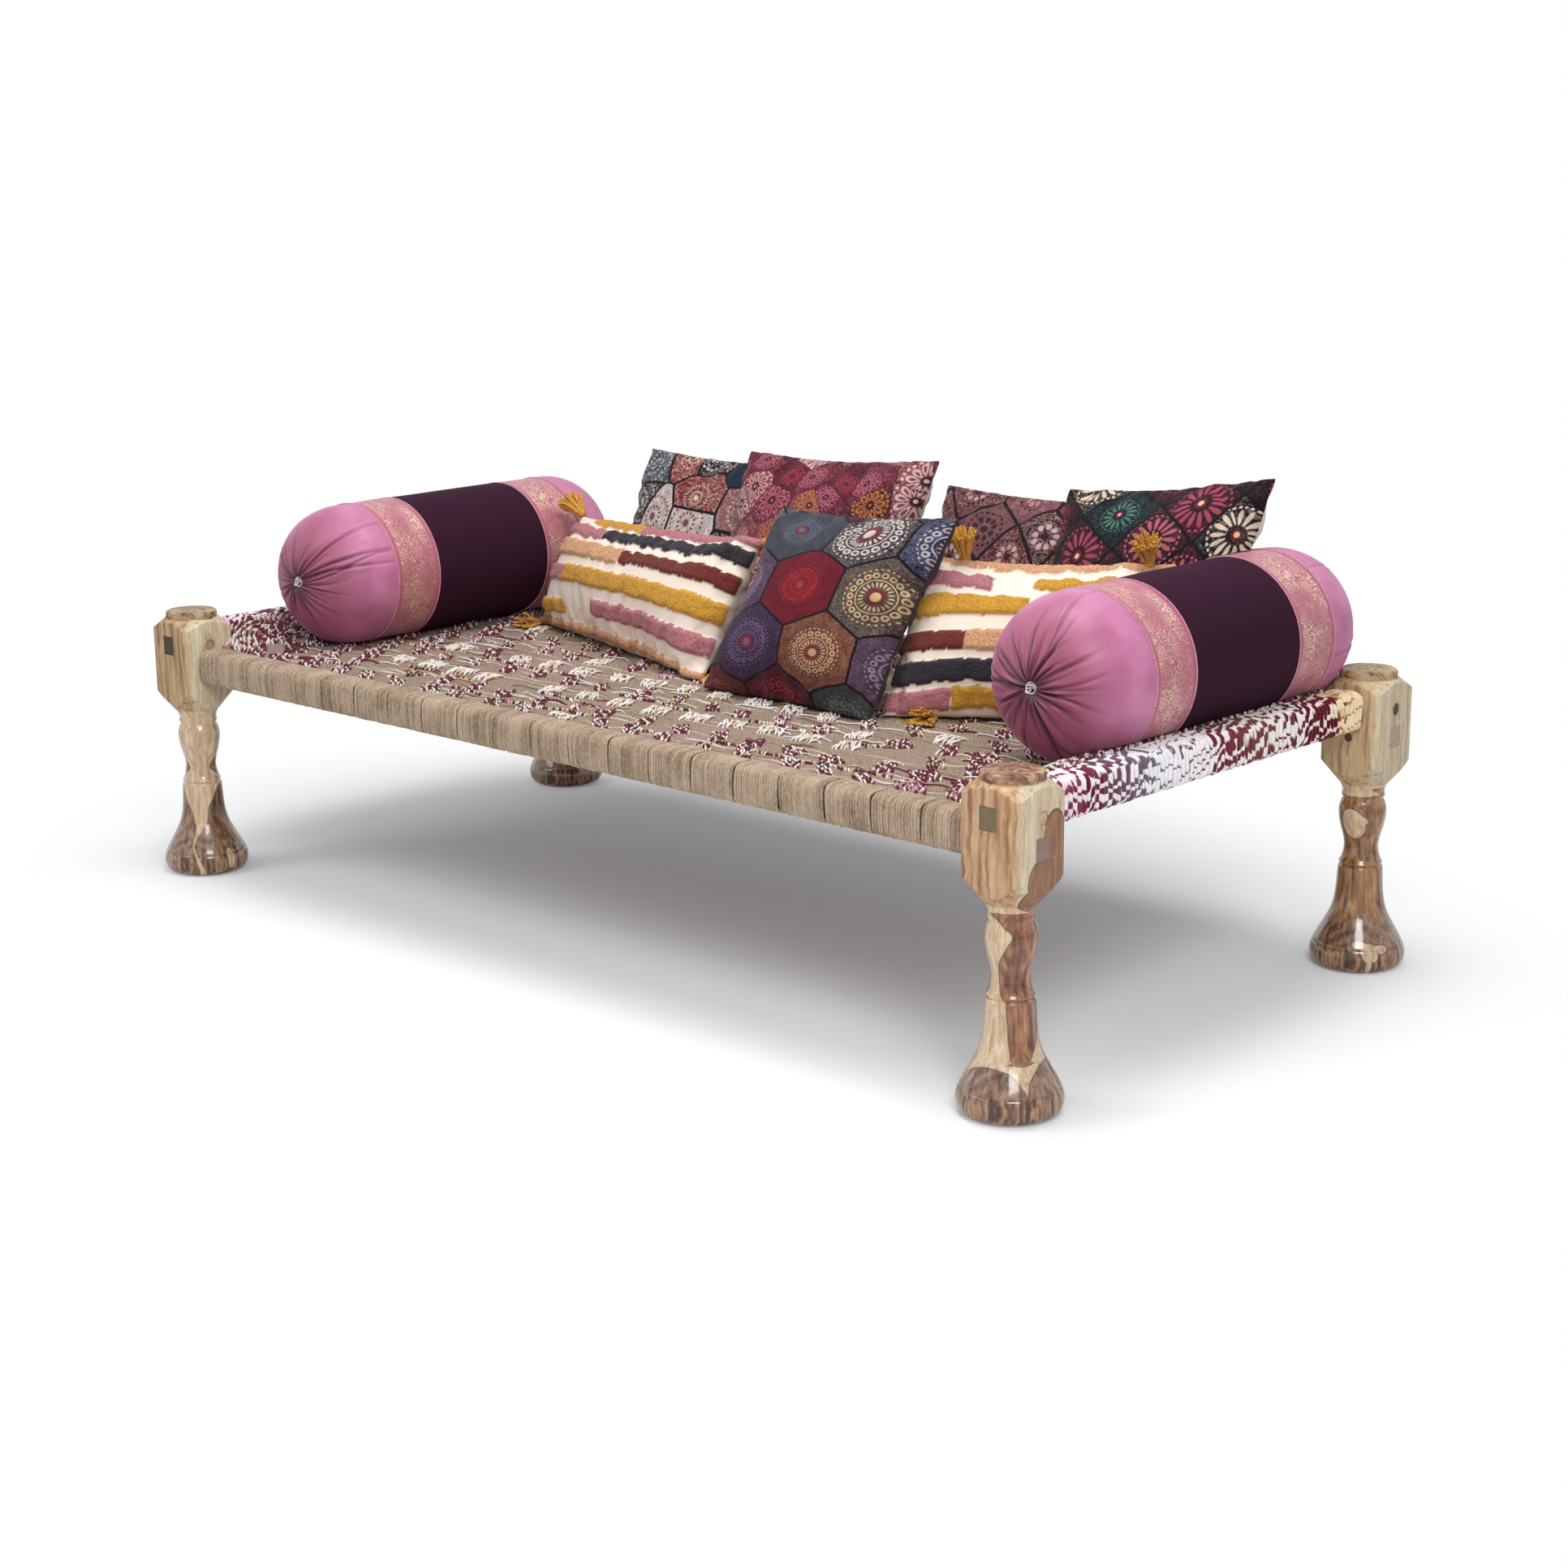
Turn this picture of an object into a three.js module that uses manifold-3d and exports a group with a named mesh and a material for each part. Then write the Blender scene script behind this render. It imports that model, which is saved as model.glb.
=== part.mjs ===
// A charpai: turned legs, pegged rails wound with rope, a woven deck, two bolsters and seven cushions.
// Millimetres, +Z up. The origin is on the floor under the middle of the bed, +X is the right end, -Y the front.
import * as THREE from 'three';
import { mergeVertices } from 'three/addons/utils/BufferGeometryUtils.js';
import Module from 'manifold-3d';

const wasm = await Module();
wasm.setup();

// Frame: a six foot by three foot bed
const legSpacingLong = 1760; // leg centre to leg centre along the sides
const legSpacingWide = 832; // and across the ends
const bedHeight = 450; // floor to the top of a leg
const seatGap = 0.3; // clearance between pieces that touch
const cutOverrunLength = 20; // how far a cutting shape runs past what it cuts
const mergeTolerance = 1e-4;

// Leg: one turned piece with a square block left for the joints
const blockSide = 98;
const blockChamfer = 11;
const blockHeight = 157;
const blockShoulderDrop = 20; // the turned slope at the block's top edge
const blockCollarRise = 39; // and the longer one at its bottom edge
const blockTopRadius = 44;
const neckRadius = 36;
const discRadius = 42;
const discHeight = 12;
const discEase = 4;
const footRadius = 70;
const turningLapLength = 1; // how far turned stretches run into the block
const legFacets = 16;

// Rails
const sideRailMiddleHeight = 360; // floor to the middle of a side rail
const sideRailWidth = 42;
const sideRailHeight = 46;
const endRailMiddleHeight = 398; // the end rails lie higher, so the tenons pass each other
const endRailWidth = 46;
const endRailHeight = 50;
const railChamfer = 9;
const tenonWidth = 28;
const tenonHeight = 31;
const sideTenonDrop = 5; // a tenon's middle below its rail's
const endTenonDrop = 3;
const tenonRecess = 0.5;

// Pegs
const throughPegRadius = 9.5; // through the leg and the end rail's tenon
const blindPegRadius = 6.5; // from the inner face into the side rail's tenon
const blindPegCover = 27; // wood left between a blind peg's hole and the outer face
const pegRecess = 2;
const pegFacets = 12;

// Rope wound on the rails
const windingThickness = 5;
const jutePitch = 83; // one loop of rope band to the next
const ragPitch = 81.5;
const windingSlitWidth = 2; // the slit between two loops

// Woven deck
const deckThickness = 10;
const deckTuckDepth = 2; // the deck's edge below the top of the winding
const deckInsetWidth = 12; // the deck's edge inside the rail's middle line
const deckSagDepth = 4;
const deckRampLength = 150; // length over which the deck climbs to the end rails
const deckHemWidth = 70; // width over which that climb dies out beside the side rails
const deckLegClearance = 8;
const deckColumns = 22;
const deckRows = 10;

// Bolsters: a round case with both ends gathered to a thread tie
const bolsterRadius = 115;
const bolsterLength = 676;
const bolsterCapLength = 112; // the gathered length at each end
const bolsterBandLength = 92; // the brocade band beside each cap
const bolsterPleatDepth = 5; // depth of the gathers
const bolsterTieRadius = 9;
const bolsterTieLength = 7;
const bolsterFacets = 20;
const rightBolsterOverhangLength = 26; // how far the right bolster reaches over its end rail
const leftBolsterInsetLength = 10; // and how far the left one stays inside its own
const rightBolsterPressDepth = 8; // how far a bolster's round underside is pressed flat
const leftBolsterPressDepth = 1;

// Cushions
const cushionColumns = 10;
const cushionRows = 9;
const seamSinkDepth = 4; // how far a cushion's lower seam sinks, and is pressed flat there
const crownPower = 0.5; // how full a cushion's section is
const tuftHeight = 5; // raised stripes
const stripeWidthShare = 0.09; // of the cushion's height
const tuftSlopeShare = 0.012;
const sideDrawShare = 0.05; // how far a side draws in between its corners
const endDrawShare = 0.045;
const neighbourGap = 0.6; // clearance kept where one soft piece presses on the next

// Lifting off: cushions go up and a little back, bolsters up and out over their end rails
const cushionLiftLean = 26.5; // degrees from upright
const bolsterLiftRise = 35; // degrees from level
const liftReachLength = 600;

// Tassels
const tasselLength = 46;
const tasselRadius = 12;
const tasselKnotRadius = 7;
const tasselFacets = 8;

const degree = Math.PI / 180;
const wood = new THREE.MeshStandardMaterial({ color: 0xb58a5c, roughness: 0.5 });
const railWood = new THREE.MeshStandardMaterial({ color: 0xa98455, roughness: 0.6 });
const jute = new THREE.MeshStandardMaterial({ color: 0xa8957a, roughness: 0.95 });
const ragRope = new THREE.MeshStandardMaterial({ color: 0xb58a94, roughness: 0.9 });
const weave = new THREE.MeshStandardMaterial({ color: 0x9c8d7c, roughness: 0.95 });
const satin = new THREE.MeshStandardMaterial({ color: 0xb06a8c, roughness: 0.45 });
const thread = new THREE.MeshStandardMaterial({ color: 0xe8e2dc, roughness: 0.8 });
const tuftedCotton = new THREE.MeshStandardMaterial({ color: 0xe9ded2, roughness: 0.95 });
const printedCotton = new THREE.MeshStandardMaterial({ color: 0x6d3740, roughness: 0.85 });
const mustardYarn = new THREE.MeshStandardMaterial({ color: 0xc99a2e, roughness: 0.95 });

const charpai = new THREE.Group();

// A closed geometry as a solid that can be joined and cut
function solidOf(geometry) {
  const bare = new THREE.BufferGeometry().setAttribute('position', geometry.getAttribute('position').clone());
  if (geometry.index) bare.setIndex(geometry.index.clone());
  const merged = mergeVertices(bare, mergeTolerance);
  const triangles = [];
  for (let start = 0; start < merged.index.count; start += 3) {
    const [a, b, c] = merged.index.array.slice(start, start + 3);
    if (a !== b && b !== c && c !== a) triangles.push(a, b, c);
  }
  return new wasm.Manifold(
    new wasm.Mesh({
      numProp: 3,
      vertProperties: new Float32Array(merged.attributes.position.array),
      triVerts: new Uint32Array(triangles),
    }),
  );
}

function geometryOf(solid) {
  const mesh = solid.getMesh();
  const geometry = new THREE.BufferGeometry();
  geometry.setAttribute('position', new THREE.BufferAttribute(mesh.vertProperties, 3));
  geometry.setIndex(new THREE.BufferAttribute(mesh.triVerts, 1));
  const flat = geometry.toNonIndexed();
  flat.computeVertexNormals();
  return flat;
}

function add(name, solid, material) {
  const mesh = new THREE.Mesh(geometryOf(solid), material);
  mesh.name = name;
  charpai.add(mesh);
  return mesh;
}

// A shape moved or turned, as a new solid
function placed(geometry, ...steps) {
  const moved = geometry.clone();
  for (const step of steps) moved.applyMatrix4(step);
  return solidOf(moved);
}

const shift = (x, y, z) => new THREE.Matrix4().makeTranslation(x, y, z);
const turnX = (angle) => new THREE.Matrix4().makeRotationX(angle);
const turnY = (angle) => new THREE.Matrix4().makeRotationY(angle);
const turnZ = (angle) => new THREE.Matrix4().makeRotationZ(angle);

// A profile of [radius, height] points turned about Z; it starts and ends on the axis, from the bottom up
function turned(profile, facets) {
  const points = profile.map(([radius, height]) => new THREE.Vector2(radius, height));
  return new THREE.LatheGeometry(points, facets).applyMatrix4(turnX(Math.PI / 2));
}

// A rectangle with cut corners, as [across, up] points
function easedRectangle(width, height, chamfer) {
  const across = width / 2;
  const up = height / 2;
  return [
    [across - chamfer, -up],
    [across, -up + chamfer],
    [across, up - chamfer],
    [across - chamfer, up],
    [-across + chamfer, up],
    [-across, up - chamfer],
    [-across, -up + chamfer],
    [-across + chamfer, -up],
  ];
}

// That rectangle grown by one margin all round
function grownRectangle(width, height, chamfer, margin) {
  const cornerShare = 2 - Math.SQRT2;
  return easedRectangle(width + 2 * margin, height + 2 * margin, chamfer + margin * cornerShare);
}

function prism(outline, length) {
  const shape = new THREE.Shape(outline.map(([across, up]) => new THREE.Vector2(across, up)));
  const bar = new THREE.ExtrudeGeometry(shape, { depth: length, bevelEnabled: false });
  return bar.applyMatrix4(shift(0, 0, -length / 2));
}

// A prism that lies along X, with its outline's width along Y
const barAlongX = (outline, length) => prism(outline, length).applyMatrix4(turnX(Math.PI / 2)).applyMatrix4(turnZ(Math.PI / 2));
// And one along Y, with its width along X
const barAlongY = (outline, length) => prism(outline, length).applyMatrix4(turnX(Math.PI / 2));

const sideTenonLevel = sideRailMiddleHeight - sideTenonDrop;
const endTenonLevel = endRailMiddleHeight - endTenonDrop;
const blockTop = bedHeight - discHeight;
const blockBottom = blockTop - blockHeight;

// The turned part of a leg below its block, from the floor up, as shares of the foot's radius and the turned height
const legTurningShares = [
  [0, 0],
  [0.743, 0],
  [0.886, 0.014],
  [0.971, 0.039],
  [1, 0.071],
  [0.993, 0.096],
  [0.95, 0.128],
  [0.921, 0.1325],
  [0.936, 0.137],
  [0.843, 0.181],
  [0.714, 0.238],
  [0.6, 0.295],
  [0.529, 0.356],
  [0.493, 0.427],
  [0.471, 0.52],
  [0.457, 0.544],
  [0.421, 0.553],
  [0.45, 0.566],
  [0.4, 0.591],
  [0.357, 0.65],
  [0.386, 0.705],
  [0.443, 0.754],
  [0.486, 0.811],
  [0.493, 0.854],
  [0.457, 0.89],
  [0.421, 0.915],
  [0.45, 0.93],
  [0.436, 0.954],
  [0.471, 0.982],
];

function legSolid() {
  const turning = legTurningShares.map(([radiusShare, heightShare]) => [
    radiusShare * footRadius,
    heightShare * blockBottom,
  ]);
  turning.push([neckRadius, blockBottom + turningLapLength], [0, blockBottom + turningLapLength]);
  const cornerRadius = Math.hypot(blockSide / 2, blockSide / 2);
  const slopes = [
    [0, blockBottom],
    [neckRadius, blockBottom],
    [cornerRadius, blockBottom + blockCollarRise],
    [cornerRadius, blockTop - blockShoulderDrop],
    [blockTopRadius, blockTop],
    [0, blockTop],
  ];
  const disc = [
    [0, blockTop - turningLapLength],
    [discRadius, blockTop - turningLapLength],
    [discRadius, bedHeight - discEase],
    [discRadius - discEase, bedHeight],
    [0, bedHeight],
  ];
  const block = placed(
    prism(easedRectangle(blockSide, blockSide, blockChamfer), blockHeight),
    shift(0, 0, blockBottom + blockHeight / 2),
  ).intersect(solidOf(turned(slopes, legFacets)));
  return block.add(solidOf(turned(turning, legFacets))).add(solidOf(turned(disc, legFacets)));
}

// A peg along Z, and the same shape with clearance for its hole
const pegShape = (radius, length) => new THREE.CylinderGeometry(radius, radius, length, pegFacets).applyMatrix4(turnX(Math.PI / 2));

const throughPegLength = blockSide - 2 * pegRecess;
const blindPegLength = blockSide - blindPegCover - pegRecess;
const blindHoleLength = blockSide - blindPegCover + seatGap + cutOverrunLength;

// The blind peg's middle, and its hole's, measured from the leg's middle towards the bed
const blindPegOffset = blockSide / 2 - pegRecess - blindPegLength / 2;
const blindHoleOffset = blockSide / 2 + cutOverrunLength - blindHoleLength / 2;

function tenonShape(margin) {
  return easedRectangle(tenonWidth + 2 * margin, tenonHeight + 2 * margin, seatGap);
}

// A cut leg; inward is the way along Y from the leg to the middle of the bed
function joinedLeg(x, y, inward) {
  const reach = blockSide + 2 * cutOverrunLength;
  return placed(geometryOf(legSolid()), shift(x, y, 0))
    .subtract(placed(barAlongX(tenonShape(seatGap), reach), shift(x, y, sideTenonLevel)))
    .subtract(placed(barAlongY(tenonShape(seatGap), reach), shift(x, y, endTenonLevel)))
    .subtract(placed(pegShape(throughPegRadius + seatGap, reach), turnY(Math.PI / 2), shift(x, y, endTenonLevel)))
    .subtract(
      placed(
        pegShape(blindPegRadius + seatGap, blindHoleLength),
        turnX(Math.PI / 2),
        shift(x, y + inward * blindHoleOffset, sideTenonLevel),
      ),
    );
}

const legPlaces = [
  ['front_left', -1, -1],
  ['front_right', 1, -1],
  ['back_left', -1, 1],
  ['back_right', 1, 1],
];

for (const [corner, alongX, alongY] of legPlaces) {
  const x = (alongX * legSpacingLong) / 2;
  const y = (alongY * legSpacingWide) / 2;
  add(`leg_${corner}`, joinedLeg(x, y, -alongY), wood);
  add(
    `end_peg_${corner}`,
    placed(pegShape(throughPegRadius, throughPegLength), turnY(Math.PI / 2), shift(x, y, endTenonLevel)),
    wood,
  );
  add(
    `side_peg_${corner}`,
    placed(
      pegShape(blindPegRadius, blindPegLength),
      turnX(Math.PI / 2),
      shift(x, y - alongY * blindPegOffset, sideTenonLevel),
    ),
    wood,
  );
}

// A rail with a through tenon at each end, bored for its pegs
const sideRailLength = legSpacingLong - blockSide - 2 * seatGap;
const endRailLength = legSpacingWide - blockSide - 2 * seatGap;
const sideRailSection = easedRectangle(sideRailWidth, sideRailHeight, railChamfer);
const endRailSection = easedRectangle(endRailWidth, endRailHeight, railChamfer);

for (const [side, alongY] of [['front', -1], ['back', 1]]) {
  const y = (alongY * legSpacingWide) / 2;
  const tenons = barAlongX(tenonShape(0), legSpacingLong + blockSide - 2 * tenonRecess);
  let rail = placed(barAlongX(sideRailSection, sideRailLength), shift(0, y, sideRailMiddleHeight)).add(
    placed(tenons, shift(0, y, sideTenonLevel)),
  );
  for (const alongX of [-1, 1]) {
    rail = rail.subtract(
      placed(
        pegShape(blindPegRadius + seatGap, blockSide),
        turnX(Math.PI / 2),
        shift((alongX * legSpacingLong) / 2, y, sideTenonLevel),
      ),
    );
  }
  add(`side_rail_${side}`, rail, railWood);
}

for (const [side, alongX] of [['left', -1], ['right', 1]]) {
  const x = (alongX * legSpacingLong) / 2;
  const tenons = barAlongY(tenonShape(0), legSpacingWide + blockSide - 2 * tenonRecess);
  let rail = placed(barAlongY(endRailSection, endRailLength), shift(x, 0, endRailMiddleHeight)).add(
    placed(tenons, shift(x, 0, endTenonLevel)),
  );
  for (const alongY of [-1, 1]) {
    rail = rail.subtract(
      placed(
        pegShape(throughPegRadius + seatGap, blockSide),
        turnY(Math.PI / 2),
        shift(x, (alongY * legSpacingWide) / 2, endTenonLevel),
      ),
    );
  }
  add(`end_rail_${side}`, rail, railWood);
}

// Rope wound on a rail as one unbroken flat band, which steps on to the next loop along the underside.
// It is built along X with its outline across Y, and its least gap to itself is measured on points.
function winding(width, height, length, pitch) {
  const inner = grownRectangle(width, height, railChamfer, seatGap);
  const outer = grownRectangle(width, height, railChamfer, seatGap + windingThickness);
  const corners = inner.length;
  const span = length - 2 * seatGap;
  const loops = Math.floor(span / pitch);
  const advance = span / loops;
  const band = advance - windingSlitWidth;
  const positions = [];
  const quads = [];
  for (let loop = 0; loop < loops; loop += 1) {
    for (let corner = 0; corner < corners; corner += 1) {
      const start = -span / 2 + windingSlitWidth / 2 + loop * advance;
      const [innerAcross, innerUp] = inner[corner];
      const [outerAcross, outerUp] = outer[corner];
      positions.push([start, innerAcross, innerUp], [start, outerAcross, outerUp]);
      positions.push([start + band, outerAcross, outerUp], [start + band, innerAcross, innerUp]);
    }
  }
  const rings = positions.length / 4;
  for (let ring = 0; ring + 1 < rings; ring += 1) {
    for (let edge = 0; edge < 4; edge += 1) {
      const here = 4 * ring + edge;
      const next = 4 * ring + ((edge + 1) % 4);
      quads.push([here, next, next + 4, here + 4]);
    }
  }
  const last = 4 * (rings - 1);
  quads.push([3, 2, 1, 0], [last, last + 1, last + 2, last + 3]);
  return { geometry: quadGeometry(positions, quads), gap: leastGap(positions, corners), loops };
}

// A closed surface from points and four-sided faces
function quadGeometry(points, quads) {
  const geometry = new THREE.BufferGeometry();
  geometry.setAttribute('position', new THREE.Float32BufferAttribute(points.flat(), 3));
  geometry.setIndex(quads.flatMap(([a, b, c, d]) => [a, b, c, a, c, d]));
  const solid = solidOf(geometry);
  if (solid.volume() > 0) return geometry;
  geometry.setIndex(quads.flatMap(([a, b, c, d]) => [c, b, a, d, c, a]));
  return geometry;
}

// The least distance between one loop's far edge and the next loop's near edge, sampled along the band
function leastGap(positions, corners) {
  const sampleCount = 12;
  const edgePoints = (offset, from) => {
    const points = [];
    for (let ring = from; ring < from + corners; ring += 1) {
      const a = new THREE.Vector3(...positions[4 * ring + offset]);
      const b = new THREE.Vector3(...positions[4 * ring + 4 + offset]);
      for (let sample = 0; sample < sampleCount; sample += 1) points.push(a.clone().lerp(b, sample / sampleCount));
    }
    return points;
  };
  const farEdge = edgePoints(2, 0);
  const nearEdge = edgePoints(1, corners);
  let least = Infinity;
  for (let index = 0; index + 1 < nearEdge.length; index += 1) {
    const stretch = new THREE.Line3(nearEdge[index], nearEdge[index + 1]);
    for (const point of farEdge) {
      least = Math.min(least, stretch.closestPointToPoint(point, true, new THREE.Vector3()).distanceTo(point));
    }
  }
  return least;
}

const juteWinding = winding(sideRailWidth, sideRailHeight, sideRailLength, jutePitch);
const ragWinding = winding(endRailWidth, endRailHeight, endRailLength, ragPitch);
console.log(`jute winding: ${juteWinding.loops} loops, least gap ${juteWinding.gap.toFixed(2)} mm`);
console.log(`rag winding: ${ragWinding.loops} loops, least gap ${ragWinding.gap.toFixed(2)} mm`);

for (const [side, alongY] of [['front', -1], ['back', 1]]) {
  const place = shift(0, (alongY * legSpacingWide) / 2, sideRailMiddleHeight);
  add(`jute_winding_${side}`, placed(juteWinding.geometry, place), jute);
}
for (const [side, alongX] of [['left', -1], ['right', 1]]) {
  const place = shift((alongX * legSpacingLong) / 2, 0, endRailMiddleHeight);
  add(`rag_winding_${side}`, placed(ragWinding.geometry, turnZ(Math.PI / 2), place), ragRope);
}

// The deck's upper surface: level with the side rails, climbing to the end rails, and sagging a little between
const windingGrowth = seatGap + windingThickness;
const deckSideLevel = sideRailMiddleHeight + sideRailHeight / 2 + windingGrowth - deckTuckDepth;
const deckEndLevel = endRailMiddleHeight + endRailHeight / 2 + windingGrowth - deckTuckDepth;
const deckHalfLength = legSpacingLong / 2 - deckInsetWidth;
const deckHalfWidth = legSpacingWide / 2 - deckInsetWidth;

const smooth = (share) => share * share * (3 - 2 * share);
const unit = (share) => Math.min(1, Math.max(0, share));

function deckTop(x, y) {
  const climb = smooth(unit((Math.abs(x) - deckHalfLength + deckRampLength) / deckRampLength));
  const hem = smooth(unit((deckHalfWidth - Math.abs(y)) / deckHemWidth));
  const acrossShare = unit(Math.abs(y) / deckHalfWidth);
  const alongShare = unit(Math.abs(x) / deckHalfLength);
  const sag = deckSagDepth * (1 - acrossShare ** 2) * (1 - alongShare ** 2);
  return deckSideLevel + (deckEndLevel - deckSideLevel) * climb * hem - sag;
}

// The layer between two distances above the deck's upper surface
function deckLayer(lower, upper) {
  const points = [];
  const quads = [];
  const across = deckRows + 1;
  const at = (column, row, level) => 2 * (column * across + row) + level;
  for (let column = 0; column <= deckColumns; column += 1) {
    for (let row = 0; row <= deckRows; row += 1) {
      const x = deckHalfLength * ((2 * column) / deckColumns - 1);
      const y = deckHalfWidth * ((2 * row) / deckRows - 1);
      points.push([x, y, deckTop(x, y) + lower], [x, y, deckTop(x, y) + upper]);
    }
  }
  for (let column = 0; column < deckColumns; column += 1) {
    for (let row = 0; row < deckRows; row += 1) {
      quads.push([at(column, row, 0), at(column, row + 1, 0), at(column + 1, row + 1, 0), at(column + 1, row, 0)]);
      quads.push([at(column, row, 1), at(column + 1, row, 1), at(column + 1, row + 1, 1), at(column, row + 1, 1)]);
    }
    quads.push([at(column, 0, 0), at(column + 1, 0, 0), at(column + 1, 0, 1), at(column, 0, 1)]);
    quads.push([
      at(column + 1, deckRows, 0),
      at(column, deckRows, 0),
      at(column, deckRows, 1),
      at(column + 1, deckRows, 1),
    ]);
  }
  for (let row = 0; row < deckRows; row += 1) {
    quads.push([at(0, row + 1, 0), at(0, row, 0), at(0, row, 1), at(0, row + 1, 1)]);
    quads.push([
      at(deckColumns, row, 0),
      at(deckColumns, row + 1, 0),
      at(deckColumns, row + 1, 1),
      at(deckColumns, row, 1),
    ]);
  }
  return solidOf(quadGeometry(points, quads));
}

let deck = deckLayer(-deckThickness, 0);
const roomMargin = windingGrowth + seatGap;
const sideRoom = grownRectangle(sideRailWidth, sideRailHeight, railChamfer, roomMargin);
const endRoom = grownRectangle(endRailWidth, endRailHeight, railChamfer, roomMargin);
for (const hand of [-1, 1]) {
  const y = (hand * legSpacingWide) / 2;
  const x = (hand * legSpacingLong) / 2;
  deck = deck.subtract(placed(barAlongX(sideRoom, legSpacingLong), shift(0, y, sideRailMiddleHeight)));
  deck = deck.subtract(placed(barAlongY(endRoom, legSpacingWide), shift(x, 0, endRailMiddleHeight)));
}
const legRoomSide = blockSide + 2 * deckLegClearance;
const legRoom = prism(easedRectangle(legRoomSide, legRoomSide, blockChamfer), bedHeight);
for (const [, alongX, alongY] of legPlaces) {
  const place = shift((alongX * legSpacingLong) / 2, (alongY * legSpacingWide) / 2, sideRailMiddleHeight);
  deck = deck.subtract(placed(legRoom, place));
}
add('woven_deck', deck, weave);

// What soft pieces stay clear of: the deck and what lies below its surface
const softFloor = deckLayer(-endRailHeight, seatGap);

// A bolster lying along Y about its own middle: barrel, seams, and ends gathered in pleats to a small flat
const capShares = [
  [0, 1],
  [0.3, 0.972],
  [0.58, 0.86],
  [0.82, 0.64],
  [0.96, 0.36],
  [1, 0.13],
];

function bolsterGeometry(radius) {
  const points = [];
  const quads = [];
  const half = bolsterLength / 2;
  const rings = [];
  for (const [reachShare, radiusShare] of [...capShares].reverse()) {
    rings.push([-half + bolsterCapLength * (1 - reachShare), radiusShare, Math.sin(Math.PI * reachShare)]);
  }
  rings.push([-half + bolsterCapLength + bolsterBandLength, 1, 0], [half - bolsterCapLength - bolsterBandLength, 1, 0]);
  for (const [reachShare, radiusShare] of capShares) {
    rings.push([half - bolsterCapLength * (1 - reachShare), radiusShare, Math.sin(Math.PI * reachShare)]);
  }
  for (const [along, radiusShare, pleatShare] of rings) {
    for (let facet = 0; facet < bolsterFacets; facet += 1) {
      const angle = (2 * Math.PI * facet) / bolsterFacets;
      const pleat = facet % 2 ? bolsterPleatDepth * pleatShare : 0;
      const reach = radius * radiusShare - pleat;
      points.push([reach * Math.cos(angle), along, reach * Math.sin(angle)]);
    }
  }
  const ringCount = rings.length;
  points.push([0, rings[0][0], 0], [0, rings[ringCount - 1][0], 0]);
  const frontPole = points.length - 2;
  const triangles = [];
  for (let facet = 0; facet < bolsterFacets; facet += 1) {
    const next = (facet + 1) % bolsterFacets;
    for (let ring = 0; ring + 1 < ringCount; ring += 1) {
      const here = ring * bolsterFacets;
      quads.push([here + facet, here + bolsterFacets + facet, here + bolsterFacets + next, here + next]);
    }
    const lastRing = (ringCount - 1) * bolsterFacets;
    triangles.push([facet, next, frontPole, frontPole]);
    triangles.push([lastRing + next, lastRing + facet, frontPole + 1, frontPole + 1]);
  }
  return quadGeometry(points, [...quads, ...triangles]);
}

// The level at which a bolster at x settles on the sloping deck
function bolsterLevel(x, press) {
  let level = 0;
  for (let facet = 0; facet < bolsterFacets; facet += 1) {
    const angle = (Math.PI * facet) / bolsterFacets;
    const touch = deckTop(x + bolsterRadius * Math.cos(angle), 0) + bolsterRadius * Math.sin(angle);
    level = Math.max(level, touch);
  }
  return level + seatGap - press;
}

// The room a solid sweeps when it is moved along a way from one distance to another
function swept(solid, way, from, to) {
  const moved = (distance) => solid.translate(way.clone().multiplyScalar(distance).toArray());
  return wasm.Manifold.hull([moved(from), moved(to)]);
}

const cushionLift = new THREE.Vector3(0, Math.sin(cushionLiftLean * degree), Math.cos(cushionLiftLean * degree));
const bolsterLift = (alongX) =>
  new THREE.Vector3(alongX * Math.cos(bolsterLiftRise * degree), 0, Math.sin(bolsterLiftRise * degree));

// The right bolster rests against the end rail, and the left one lies a little further in
const endRailInner = legSpacingLong / 2 - endRailWidth / 2 - windingGrowth;
const bolsters = [
  {
    side: 'left',
    x: -endRailInner + leftBolsterInsetLength + bolsterRadius,
    placeShare: 0.027,
    turn: 2,
    press: leftBolsterPressDepth,
    lift: bolsterLift(-1),
  },
  {
    side: 'right',
    x: endRailInner + rightBolsterOverhangLength - bolsterRadius,
    placeShare: 0.125,
    turn: 0,
    press: rightBolsterPressDepth,
    lift: bolsterLift(1),
  },
];

const tie = new THREE.CylinderGeometry(bolsterTieRadius, bolsterTieRadius, bolsterTieLength, tasselFacets);
for (const bolster of bolsters) {
  const level = bolsterLevel(bolster.x, bolster.press);
  const place = [turnZ(bolster.turn * degree), shift(bolster.x, bolster.placeShare * legSpacingWide, level)];
  add(`bolster_${bolster.side}`, placed(bolsterGeometry(bolsterRadius), ...place).subtract(softFloor), satin);
  const room = placed(bolsterGeometry(bolsterRadius + neighbourGap), ...place);
  bolster.keepOut = swept(room, bolster.lift, 0, liftReachLength).add(swept(room, cushionLift, -liftReachLength, 0));
  for (const [end, alongY] of [['front', -1], ['back', 1]]) {
    const out = alongY * (bolsterLength / 2 + seatGap + bolsterTieLength / 2);
    add(`bolster_tie_${bolster.side}_${end}`, placed(tie, shift(0, out, 0), ...place), thread);
  }
}

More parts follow.
